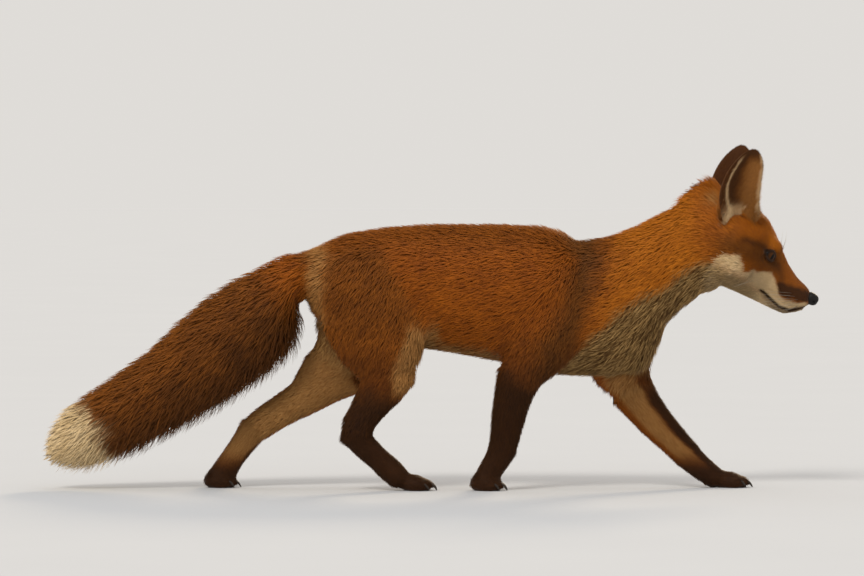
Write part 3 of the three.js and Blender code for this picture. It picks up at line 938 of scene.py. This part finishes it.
class Tree:
    """A material's nodes, with short calls to add and join them."""

    def __init__(self, name):
        self.material = bpy.data.materials.new(name)
        self.material.use_nodes = True
        self.nodes, self.links = self.material.node_tree.nodes, self.material.node_tree.links
        self.shader = self.nodes["Principled BSDF"]

    def put(self, socket, value):
        if isinstance(value, bpy.types.NodeSocket):
            self.links.new(value, socket)
        else:
            socket.default_value = value

    def add(self, kind, inputs=(), **settings):
        node = self.nodes.new(kind)
        for key, value in settings.items():
            setattr(node, key, value)
        for key, value in dict(inputs).items():
            self.put(node.inputs[key], value)
        return node

    def mix(self, factor, a, b, blend="MIX"):
        node = self.add("ShaderNodeMix", data_type="RGBA", blend_type=blend)
        self.put(node.inputs[0], factor)
        self.put(node.inputs[6], a)
        self.put(node.inputs[7], b)
        return node.outputs[2]

    def maths(self, operation, a, b=0.0, c=0.0):
        node = self.add("ShaderNodeMath", operation=operation)
        for socket, value in zip(node.inputs, (a, b, c)):
            self.put(socket, value)
        return node.outputs[0]

    def ramp(self, factor, stops):
        node = self.add("ShaderNodeValToRGB", {"Fac": factor})
        elements = node.color_ramp.elements
        while len(elements) < len(stops):
            elements.new(0.5)
        for element, (place, colour) in zip(elements, stops):
            element.position = place
            element.color = (*colour, 1)
        return node.outputs[0]

    def noise(self, scale, detail=3.0, rough=0.55, stretch=None):
        place = self.add("ShaderNodeTexCoord").outputs["Object"]
        if stretch:
            place = self.add("ShaderNodeMapping", {"Vector": place, "Scale": stretch}).outputs[0]
        inputs = {"Vector": place, "Scale": scale, "Detail": detail, "Roughness": rough}
        return self.add("ShaderNodeTexNoise", inputs).outputs[0]

    def channels(self, attribute):
        colour = self.add("ShaderNodeAttribute", attribute_name=attribute).outputs["Color"]
        return self.add("ShaderNodeSeparateColor", {"Color": colour}).outputs

    def bump(self, height, strength, distance):
        inputs = {"Height": height, "Strength": strength, "Distance": distance}
        self.put(self.shader.inputs["Normal"], self.add("ShaderNodeBump", inputs).outputs[0])

    def set(self, **values):
        for key, value in values.items():
            self.put(self.shader.inputs[key.replace("_", " ")], value)


def fur_colour(tree, tone, fleck):
    """The marked coat's colour: tone shifts each fur between its two colours, fleck picks agouti hairs."""
    first, second = tree.channels("mark_a"), tree.channels("mark_b")

    def fur(name, by=tone):
        low, high = FUR[name]
        return tree.ramp(by, [(0.0, low), (1.0, high)])

    colour = tree.mix(first[0], fur("rufous"), fur("orange"))
    colour = tree.mix(second[2], colour, fur("brown"))
    colour = tree.mix(first[2], colour, fur("buff"))
    colour = tree.mix(first[1], colour, fur("grey", fleck))
    colour = tree.mix(second[0], colour, fur("white"))
    return tree.mix(second[1], colour, fur("dark"))


def skin_material():
    tree = Tree("fox_skin")
    tone = tree.noise(900, 4, 0.7)
    tone = tree.maths("MULTIPLY_ADD", tone, 1.6, -0.35)
    colour = fur_colour(tree, tone, tone)
    patches = tree.ramp(tree.noise(45), [(0.3, (0.74, 0.72, 0.70)), (0.7, (0.92, 0.90, 0.88))])
    colour = tree.mix(1.0, colour, patches, "MULTIPLY")
    tree.set(Base_Color=colour, Sheen_Weight=0.08, Sheen_Roughness=0.5, Specular_IOR_Level=0.15)
    tree.set(Roughness=tree.maths("MULTIPLY_ADD", tree.noise(300), 0.25, 0.55))
    tree.bump(tree.noise(1400, 5, 0.7), 0.5, 0.0012)
    return tree.material


def coat_material():
    tree = Tree("fox_coat")
    tuft = tree.channels("tuft")
    patch = tree.noise(28, 2)
    tone = tree.maths("MULTIPLY_ADD", patch, 0.7, tree.maths("MULTIPLY_ADD", tuft[0], 0.5, -0.12))
    fleck = tree.maths("MULTIPLY_ADD", tuft[2], 1.15, -0.05)
    colour = fur_colour(tree, tone, fleck)
    # each tuft darker toward its root, as painted shade deep in the coat, and paler at its tip
    root_shade_and_tip = tree.ramp(tuft[1], [(0.0, (0.70,) * 3), (0.45, (0.92,) * 3), (1.0, (1.12, 1.10, 1.04))])
    colour = tree.mix(1.0, colour, root_shade_and_tip, "MULTIPLY")
    tree.set(Base_Color=colour, Sheen_Weight=0.12, Sheen_Roughness=0.45, Specular_IOR_Level=0.12)
    tree.set(Sheen_Tint=(1.0, 0.58, 0.22, 1))
    tree.set(Roughness=tree.maths("MULTIPLY_ADD", tree.noise(350), 0.2, 0.48))
    return tree.material


def nose_material():
    tree = Tree("fox_nose")
    cells = tree.add("ShaderNodeTexVoronoi", {"Vector": tree.add("ShaderNodeTexCoord").outputs["Object"],
                                              "Scale": 1100.0}).outputs["Distance"]
    colour = tree.ramp(cells, [(0.0, (0.008, 0.006, 0.006)), (0.8, (0.004, 0.003, 0.003))])
    # darker still in the nostrils, by mark_a: painted shade inside the holes
    colour = tree.mix(tree.channels("mark_a")[0], colour, (0.0008, 0.0006, 0.0006, 1))
    tree.set(Base_Color=colour, Coat_Weight=0.1, Coat_Roughness=0.3, Specular_IOR_Level=0.2)
    tree.set(Roughness=tree.maths("MULTIPLY_ADD", tree.noise(500), 0.3, 0.45))
    tree.bump(cells, 0.55, 0.0006)
    return tree.material


def claw_material():
    tree = Tree("fox_claw")
    colour = tree.ramp(tree.noise(160, 3, 0.6, (1, 6, 6)),
                       [(0.25, (0.012, 0.009, 0.007)), (0.8, (0.050, 0.036, 0.026))])
    tree.set(Base_Color=colour, Specular_IOR_Level=0.3)
    tree.set(Roughness=tree.maths("MULTIPLY_ADD", tree.noise(400), 0.25, 0.35))
    tree.bump(tree.noise(700, 3, 0.6, (1, 8, 8)), 0.3, 0.0004)
    return tree.material


def whisker_material():
    tree = Tree("fox_whisker")
    along = tree.channels("tuft")[1]
    colour = tree.ramp(along, [(0.0, (0.05, 0.035, 0.025)), (0.45, (0.30, 0.25, 0.19)),
                               (1.0, (0.80, 0.74, 0.62))])
    tree.set(Base_Color=colour, Specular_IOR_Level=0.4)
    tree.set(Roughness=tree.maths("MULTIPLY_ADD", tree.noise(300), 0.2, 0.35))
    return tree.material


def eye_material():
    """Iris and slit pupil by the eye's own marks: distance from the axis, and across and up from it."""
    tree = Tree("fox_eye")
    place = tree.channels("mark_a")
    out = tree.maths("SQRT", tree.maths("ADD", tree.maths("POWER", place[0], 2.0),
                                        tree.maths("POWER", place[1], 2.0)))
    spokes = tree.add("ShaderNodeTexNoise", {"Scale": 9.0, "Detail": 4.0, "Vector": tree.add(
        "ShaderNodeAttribute", attribute_name="mark_b").outputs["Vector"]}).outputs[0]
    fibre = tree.maths("MULTIPLY_ADD", spokes, 0.35, tree.maths("MULTIPLY", out, 0.9))
    iris = tree.ramp(fibre, [(0.15, (0.022, 0.007, 0.0015)), (0.50, (0.060, 0.020, 0.003)),
                             (0.72, (0.036, 0.012, 0.002)), (0.84, (0.008, 0.003, 0.002))])
    rim = tree.ramp(out, [(0.66, (0, 0, 0)), (0.76, (1, 1, 1))])
    iris = tree.mix(rim, iris, (0.012, 0.008, 0.007, 1))
    slit = tree.maths("ADD", tree.maths("POWER", tree.maths("DIVIDE", place[0], 0.22), 2.0),
                      tree.maths("POWER", tree.maths("DIVIDE", place[1], 0.50), 2.0))
    pupil = tree.ramp(slit, [(0.75, (1, 1, 1)), (1.0, (0, 0, 0))])
    colour = tree.mix(pupil, iris, (0.002, 0.002, 0.002, 1))
    tree.set(Base_Color=colour, Coat_Weight=0.14, Coat_Roughness=0.03, Specular_IOR_Level=0.04)
    tree.set(Roughness=tree.maths("MULTIPLY_ADD", spokes, 0.15, 0.25))
    return tree.material


# ---- Pieces of their own --------------------------------------------------------------------------------


def place_piece(obj, slot, *nodes):
    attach(obj, "root")
    if nodes:
        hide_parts(*nodes)
    return obj


def make_eye(node, side, material):
    """An eyeball with a domed cornea. Its marks are places across and up from the axis, in eye radii."""
    middle, look, _, _ = eye_frame(side, EYE_AXIS)
    verts, tris = ball((0, 0, 0), (2, 2, 2), rings=96, sides=96)
    level = unit(np.cross((0, 0, 1.0), look))
    upright = np.cross(look, level)
    turn = np.stack([level, upright, look], 1)
    across, up, ahead = verts.T
    dome = 0.085 * step(ahead, 0.72, 0.93)
    local = verts * (1 + dome)[:, None]
    obj = make_object(node + "_ball", from_head(middle + EYE_RADIUS * local @ turn.T), tris, material)
    angle = np.arctan2(up, across)
    paint(obj.data, "mark_a", np.stack([across + 0.0, up, ahead], 1))
    paint(obj.data, "mark_b", np.stack([np.cos(angle * 1.0) * 2.2, np.sin(angle) * 2.2, ahead * 0.15], 1))
    return place_piece(obj, "eye", node)


def make_nose(material):
    """The nose pad: flat on top, with a groove down the middle and a comma-shaped nostril on each side."""
    verts, tris = ball((0, 0, 0), (2, 2, 2), turn_about("y", 90), rings=90, sides=120)
    x, y, z = verts.T
    box = (np.abs(x) ** 2.9 + np.abs(y) ** 2.9 + np.abs(z) ** 2.9) ** (-1 / 2.9)
    shape = np.stack([x, y, z], 1) * (1 + 0.75 * (box - 1))[:, None]
    shape[:, 1] *= 1 - 0.18 * step(-z, 0.0, 1.0)
    shape[:, 0] -= 0.42 * step(-z, 0.05, 1.1) * (shape[:, 0] > -0.2)
    shape[:, 2] -= 0.10 * step(x, 0.3, 1.0)
    points = shape * np.array(NOSE_PAD) / 2
    dark = np.zeros(len(points))
    for side in (-1, 1):
        px, py, pz = points[:, 0], points[:, 1] * side, points[:, 2]
        hole = np.exp(-(((px - 7.0) / 3.0) ** 2 + ((py - 4.8) / 2.1) ** 2 + ((pz - 0.0) / 2.1) ** 2))
        comma = np.exp(-(((px - 3.4) / 3.2) ** 2 + ((py - 8.6) / 2.6) ** 2 + ((pz + 1.8) / 1.2) ** 2))
        wing = np.exp(-(((px - 4.6) / 2.6) ** 2 + ((py - 8.0) / 1.8) ** 2 + ((pz - 2.4) / 2.0) ** 2))
        inward = 4.2 * hole + 2.2 * comma - 0.8 * wing
        points -= unit(points) * inward[:, None]
        # the nostrils' darkness, stored as mark_a, is painted shade inside the holes
        dark = np.maximum(dark, np.clip(1.3 * hole + 1.1 * comma, 0, 1))
    groove = 0.8 * bump(points[:, 1], 0, 0.7) * step(-points[:, 2], -3, 1) * (points[:, 0] > 0)
    points[:, 0] -= groove
    obj = make_object("nose_pad", from_head(points + np.array(PAD_AT)), tris, material)
    paint(obj.data, "mark_a", np.stack([dark, dark, dark], 1))
    return place_piece(obj, "nose", "nose")


def curved_cone(path, radii, sides=10):
    """A closed tapering horn along a path, with how far along it each vertex lies."""
    path = np.asarray(path, float)
    way = unit(np.gradient(path, axis=0))
    side = unit(np.cross(way, (0.03, 1.0, 0.02)))
    other = np.cross(way, side)
    angle = np.arange(sides) * 2 * math.pi / sides
    rings = path[:, None] + np.array(radii)[:, None, None] * (
        side[:, None] * np.cos(angle)[None, :, None] + other[:, None] * np.sin(angle)[None, :, None])
    verts = np.concatenate([rings[:-1].reshape(-1, 3), path[[0, -1]]])
    count, start, end = len(path) - 1, (len(path) - 1) * sides, (len(path) - 1) * sides + 1
    tris = []
    for j in range(sides):
        k = (j + 1) % sides
        for i in range(count - 1):
            a, b, c, d = i * sides + j, i * sides + k, (i + 1) * sides + k, (i + 1) * sides + j
            tris += [(a, b, c), (a, c, d)]
        tris += [(start, k, j), (end, (count - 1) * sides + j, (count - 1) * sides + k)]
    along = np.concatenate([np.repeat(np.linspace(0, 1, len(path))[:-1], sides), [0, 1]])
    return verts, np.array(tris), along


def make_claws(name, material):
    x, y, heading = PAWS[name]
    parts = []
    for ahead, aside, splay in TOES:
        t = np.linspace(0, 1, 9)
        droop = np.radians(CLAW_DROOP + 42 * t)
        reach = np.cumsum(np.cos(droop)) * CLAW_LENGTH * 1.25 / 9
        fall = np.cumsum(np.sin(droop)) * CLAW_LENGTH * 1.25 / 9
        start = TOE_SIZE[0] / 2 - 5.0
        path = np.stack([start + reach, 0 * t, CLAW_HEIGHT + 3.2 - fall], 1)
        path[:, 2] = path[:, 2].clip(0.6)
        path = path @ turn_about("z", heading + splay).T
        foot = turn_about("z", heading) @ np.array([ahead, aside, 0]) + np.array([x, y, 0])
        radii = CLAW_RADIUS * (1 - t**1.6) ** 0.7 * np.array([1.0] * 9)
        verts, tris, _ = curved_cone((path + foot) * MM, radii * MM)
        parts.append((verts, tris))
    obj = make_object(name + "_claws", *together(parts), material)
    return place_piece(obj, "nose")


def make_whiskers(skin_tree, material):
    """Long hairs from the whisker pads, two over each eye and a few on the cheek."""
    dice = np.random.default_rng(5)
    parts, marks = [], []
    for side in (-1, 1):
        starts = [((-14 - 6.0 * i, -19 - 3.6 * j + 0.8 * i), 34 + 7 * i + dice.uniform(-4, 6), 0.22)
                  for j in range(3) for i in range(4)]
        starts += [((-78 + 3 * i, 18.5), 22 + 6 * i, 0.22) for i in range(2)]
        starts += [((-84 - 4 * i, -34), 30.0, 0.24) for i in range(2)]
        for (px, pz), length, radius in starts:
            begin = Vector(from_head([[px, side * 60, pz]])[0])
            way = Vector((-HEAD_TURN[:, 1] * side).tolist())
            spot, normal, _, _ = skin_tree.ray_cast(begin, way)
            if spot is None:
                continue
            out = np.array(normal)
            back = HEAD_TURN @ unit(np.array([-0.75, 0.42 * side, -0.42 if pz < 0 else 0.9]))
            lead = unit(0.75 * out + back + dice.normal(size=3) * 0.06)
            t = np.linspace(0, 1, 11)[:, None]
            sag = HEAD_TURN @ np.array([-0.55, -0.10 * side, -0.35 if pz < 0 else 0.1])
            path = np.array(spot) - out * 0.8 * MM + length * MM * (lead * t + sag * 0.55 * t**2)
            radii = radius * (1 - t[:, 0]) ** 0.8 * MM
            verts, tris, along = curved_cone(path, radii, 5)
            parts.append((verts, tris))
            marks.append(np.stack([along * 0, along, along * 0], 1))
    obj = make_object("whiskers", *together(parts), material)
    paint(obj.data, "tuft", np.concatenate(marks))
    return place_piece(obj, "coat")


# ---- Coat -----------------------------------------------------------------------------------------------

PATCH = 0.003  # the width of a tuft's patch on the OFBake map
SUNK = 0.5  # mm that a tuft's root lies under the skin


def morton(points):
    """A number for each point that is near for near points."""
    grid = ((points - points.min(0)) / 0.004).astype(np.int64)
    code = np.zeros(len(points), np.int64)
    for bit in range(9):
        for k in range(3):
            code |= ((grid[:, k] >> bit) & 1) << (3 * bit + k)
    return code


def scatter(verts, tris, number):
    """Even roots over the triangles, number of them for each square mm: (triangle, weights of its corners)."""
    a, b, c = (verts[tris[:, k]] for k in range(3))
    area = np.linalg.norm(np.cross(b - a, c - a), axis=1) / 2 / MM**2
    wanted = area * number[tris].mean(1)
    order = np.argsort(morton((a + b + c) / 3))
    reached = np.cumsum(wanted[order])
    count = int(reached[-1])
    marks = np.arange(count) + rng.uniform(0, 1, count)
    picked = order[np.searchsorted(reached, marks.clip(0, reached[-1] - 1e-6))]
    u, v = rng.uniform(0, 1, (2, count))
    flip = u + v > 1
    u, v = np.where(flip, 1 - u, u), np.where(flip, 1 - v, v)
    return picked, np.stack([1 - u - v, u, v], 1)


def tuft_shape(rings):
    """The triangles of one closed three-sided tuft of so many rings and a point."""
    tris = [(0, 2, 1)]
    for r in range(rings - 1):
        for j in range(3):
            k = (j + 1) % 3
            a, b, c, d = 3 * r + j, 3 * r + k, 3 * r + 3 + k, 3 * r + 3 + j
            tris += [(a, b, c), (a, c, d)]
    last = 3 * (rings - 1)
    tris += [(last, last + 1, 3 * rings), (last + 1, last + 2, 3 * rings), (last + 2, last, 3 * rings)]
    return np.array(tris)[:, ::-1]


def grow(roots, rings):
    """Vertices, triangles, marks and map of tufts. roots holds one row for each tuft."""
    count = len(roots["at"])
    up, lie = roots["normal"], roots["lie"]
    side = np.cross(up, lie)
    length, rise, width = (roots[k][:, None] * MM for k in ("length", "rise", "width"))
    bend = roots["bend"][:, None]
    verts, along, spread, facing = [], [], [], []
    for r in range(rings):
        t = r / rings
        thick = (0.80 + 0.55 * t - 0.75 * t * t) * (1 if r else 0.9)
        middle = roots["at"] + lie * length * t + side * length * bend * t * t
        middle = middle + up * (rise * (1 - (1 - t) ** 1.7) - SUNK * MM * (1 - t))
        half = width * thick / 2
        verts += [middle + side * half, middle - side * half, middle + up * half * 0.75]
        along += [t, t, t]
        spread += [0.5, -0.5, 0.0]
        facing += [unit(up + side * 0.55), unit(up - side * 0.55), up]
    tip = roots["at"] + lie * length + side * length * bend + up * rise
    verts.append(tip)
    along.append(1.0)
    spread.append(0.0)
    facing.append(unit(up + lie * 0.35))
    verts = np.stack(verts, 1)
    per = verts.shape[1]
    tris = (tuft_shape(rings)[None] + (np.arange(count) * per)[:, None, None]).reshape(-1, 3)
    along, spread = np.array(along), np.array(spread)
    patch = np.stack([spread * 0.5, along - 0.5], 1) * PATCH
    uv = roots["uv"][:, None] + patch[None]
    marks = np.empty((count, per, 3))
    marks[:, :, 0] = roots["tone"][:, None]
    marks[:, :, 1] = along[None]
    marks[:, :, 2] = roots["fleck"][:, None]
    facing = np.stack(facing, 1).reshape(-1, 3)
    return verts.reshape(-1, 3), tris, marks.reshape(-1, 3), uv.reshape(-1, 2), facing, per


def coat_piece(name, roots, rings, material):
    verts, tris, marks, uv, facing, per = grow(roots, rings)
    obj = make_object(name, verts, tris, material)
    paint(obj.data, "tuft", marks)
    paint(obj.data, "mark_a", np.repeat(roots["first"], per, 0))
    paint(obj.data, "mark_b", np.repeat(roots["second"], per, 0))
    set_uv(obj.data, uv)
    obj.data.normals_split_custom_set_from_vertices(facing.tolist())
    place_piece(obj, "coat")
    return len(tris)


# ---- Stage ----------------------------------------------------------------------------------------------


def make_stage():
    """A plain pale floor that reaches far past every camera."""
    tree = Tree("stage")
    grain = tree.ramp(tree.noise(3.0, 2), [(0.3, (0.595, 0.620, 0.662)), (0.7, (0.603, 0.628, 0.670))])
    tree.set(Base_Color=grain, Roughness=0.85, Specular_IOR_Level=0.0)
    sides = 96
    profile = [(0.001, 0.0), (2.0, 0.0), (8.0, 0.0), (40.0, 0.0)]
    verts, tris = [], []
    for radius, height in profile:
        for j in range(sides):
            a = 2 * math.pi * j / sides
            verts.append((radius * math.cos(a), radius * math.sin(a), height))
    for i in range(len(profile) - 1):
        for j in range(sides):
            k = (j + 1) % sides
            a, b, c, d = i * sides + j, i * sides + k, (i + 1) * sides + k, (i + 1) * sides + j
            tris += [(a, d, c), (a, c, b)]
    floor = make_object("floor", np.array(verts), np.array(tris), tree.material)


def soft_light(name, place, strength, spread, colour):
    """A wide soft lamp far off in the direction of place, even over the whole floor."""
    data = bpy.data.lights.new(name, "SUN")
    data.energy, data.angle, data.color = strength, math.radians(spread), colour
    obj = bpy.data.objects.new(name, data)
    obj.rotation_euler = Vector(place).to_track_quat("Z", "Y").to_euler()
    bpy.context.scene.collection.objects.link(obj)


def make_lights():
    world = bpy.data.worlds.new("studio")
    world.use_nodes = True
    background = world.node_tree.nodes["Background"]
    background.inputs["Color"].default_value = (1.0, 0.97, 0.93, 1)
    background.inputs["Strength"].default_value = 0.74
    bpy.context.scene.world = world
    soft_light("key", (-0.30, -0.72, 0.75), 1.35, 17, (1.0, 0.92, 0.80))
    soft_light("rim", (0.35, 1.0, 0.48), 1.5, 14, (1.0, 0.80, 0.54))
    bpy.context.scene.view_settings.view_transform = "Standard"


# The picture is 864 x 576, and one of its pixels is 1.30 mm at the fox. These pixels are the fox's middle
# plane and the floor under it.
PIXEL = 1.30
PICTURE = (864, 576)
ZERO_COLUMN, FLOOR_ROW = 433.5, 489.0
SHIFT = 1.05  # mm from the middle of the stride to the middle of the model's box
CAMERA_DISTANCE = 7.5
CAMERA_ELEVATION = 1.3


def make_camera():
    data = bpy.data.cameras.new("camera")
    data.sensor_width = 36.0
    data.lens = 36.0 * CAMERA_DISTANCE / (PICTURE[0] * PIXEL * MM)
    camera = bpy.data.objects.new("camera", data)
    aim = Vector(((PICTURE[0] / 2 - ZERO_COLUMN) * PIXEL * MM + SHIFT * MM, 0,
                  (FLOOR_ROW - PICTURE[1] / 2) * PIXEL * MM))
    tilt = math.radians(CAMERA_ELEVATION)
    camera.location = aim + CAMERA_DISTANCE * Vector((0, -math.cos(tilt), math.sin(tilt)))
    camera.rotation_euler = (aim - camera.location).to_track_quat("-Z", "Y").to_euler()
    data.clip_end = 100
    bpy.context.scene.collection.objects.link(camera)
    bpy.context.scene.camera = camera


# ---- The fox --------------------------------------------------------------------------------------------


def unwrap(obj):
    """Lays the skin out flat by its own shape and returns the map's place for each corner of a triangle."""
    bpy.context.view_layer.objects.active = obj
    obj.select_set(True)
    obj.data.uv_layers.new(name="OFBake")
    bpy.ops.object.mode_set(mode="EDIT")
    bpy.ops.mesh.select_all(action="SELECT")
    bpy.ops.uv.smart_project(angle_limit=math.radians(66), island_margin=0.001)
    bpy.ops.object.mode_set(mode="OBJECT")
    obj.select_set(False)
    uv = np.empty(len(obj.data.loops) * 2, np.float32)
    obj.data.uv_layers["OFBake"].data.foreach_get("uv", uv)
    return uv.reshape(-1, 3, 2).astype(float)


def bare(verts, normals, q, ears):
    """1 where no hair grows: lids, nose pad, lips' edge and soles."""
    out = sole(verts, normals)
    for side in (-1, 1):
        past, _ = past_lids(q, side)
        out = np.maximum(out, 1 - step(past, 0.8, 1.4))
    nose = pad_distance(q)
    out = np.maximum(out, nose < 1.08)
    lips, along = distance_to_line(q[:, 0], q[:, 2], MOUTH)
    return np.maximum(out, (lips < 1.0) & (along > 0.2) & (np.abs(q[:, 1]) < 40))


def build():
    verts, tris = make_skin()
    skin = make_object("skin", verts, tris, skin_material())
    verts, tris = mesh_arrays(skin.data)
    uv = unwrap(skin)
    web = Web(tris, len(verts))
    normals = vertex_normals(verts, tris)
    weights, names, nearest = region_weights(verts, web, 14)
    ears = ear_marks(verts)
    first, second = markings(verts, normals, weights, ears)
    paint(skin.data, "mark_a", first)
    paint(skin.data, "mark_b", second)
    flesh = [n for n in names if n != "nose" and not n.startswith("eye")]
    place_piece(skin, "coat", *flesh)

    coat = web.smooth(coat_table(verts, weights, web), 40)
    coat = coat + ears[:, 3:] * (ear_coat(ears) - coat)
    soft = unit(web.smooth(normals, 3))
    lies = lie_of_coat(verts, soft, web, weights, names, nearest, ears)
    q = to_head(verts)
    for side in (-1, 1):
        lid = 0.35 + 0.65 * step(past_lids(q, side)[0], 1.0, 8.0)
        coat[:, :2] *= np.where(np.linalg.norm(q - eye_frame(side)[0], axis=1) < 25, lid, 1)[:, None]
    number = coat[:, 3] * (1 - bare(verts, normals, q, ears))

    tri, share = scatter(verts, tris, number)
    corners = tris[tri]

    def at_root(field):
        return np.einsum("rc,rck->rk", share, field[corners])

    count = len(tri)
    place = at_root(verts)
    up = unit(at_root(normals))
    lie = at_root(lies)
    side = np.cross(up, lie)
    swing = rng.normal(0, 0.16, count)[:, None]
    lie = lie + side * swing
    lie = unit(lie - up * (lie * up).sum(1, keepdims=True))
    table = at_root(coat)
    part = at_root(weights)
    part /= part.sum(1, keepdims=True)
    tailness = part[:, REGIONS.index("tail")] + part[:, REGIONS.index("tail_tip")]
    below = tailness * step(-(up[:, 2] * 0.8 - up[:, 0] * 0.6), 0.35, 0.95)
    hanging = below * (rng.uniform(0, 1, count) < 0.35)
    size = rng.uniform(0.72, 1.12, count) * (1 - 0.3 * hanging)
    roots = {
        "at": place,
        "normal": up,
        "lie": lie,
        "length": table[:, 1] * size,
        "rise": table[:, 0] * (rng.uniform(0.6, 1.12, count) + 0.55 * hanging),
        "width": table[:, 2] * rng.uniform(0.75, 1.2, count) * (1 - 0.35 * hanging),
        "bend": rng.normal(0, 0.10, count),
        "tone": rng.uniform(0, 1, count),
        "fleck": rng.uniform(0, 1, count) ** 1.3,
        "uv": np.einsum("rc,rck->rk", share, uv[tri]),
        "first": at_root(first),
        "second": at_root(second),
    }
    rising = (lie[:, 2] * roots["length"] + up[:, 2] * roots["rise"]) * MM
    clear = place[:, 2] + np.minimum(rising, 0.4 * rising) > 0.8 * MM
    material = coat_material()
    short = table[:, 1] < 10.5
    long = tailness > 0.5
    kinds = {"short": (short & ~long, 1), "body": (~short & ~long, 2), "brush": (long, 3)}
    report = {}
    for kind, (chosen, rings) in kinds.items():
        index = np.flatnonzero(chosen & clear)
        index = index[np.argsort(place[index, 0])]
        most = 190000 // len(tuft_shape(rings))
        for i, some in enumerate(np.array_split(index, max(1, math.ceil(len(index) / most)))):
            name = f"coat_{kind}_{i + 1}"
            report[name] = coat_piece(name, {k: v[some] for k, v in roots.items()}, rings, material)
    print("skin triangles", len(tris), "tufts", count, "coat triangles", sum(report.values()), report)

    eye = eye_material()
    for node, eye_side in EYES.items():
        make_eye(node, eye_side, eye)
    make_nose(nose_material())
    claw = claw_material()
    for name in LEGS:
        make_claws(name, claw)
    tree = BVHTree.FromPolygons(verts.tolist(), tris.tolist())
    make_whiskers(tree, whisker_material())


build()
make_stage()
make_lights()
make_camera()
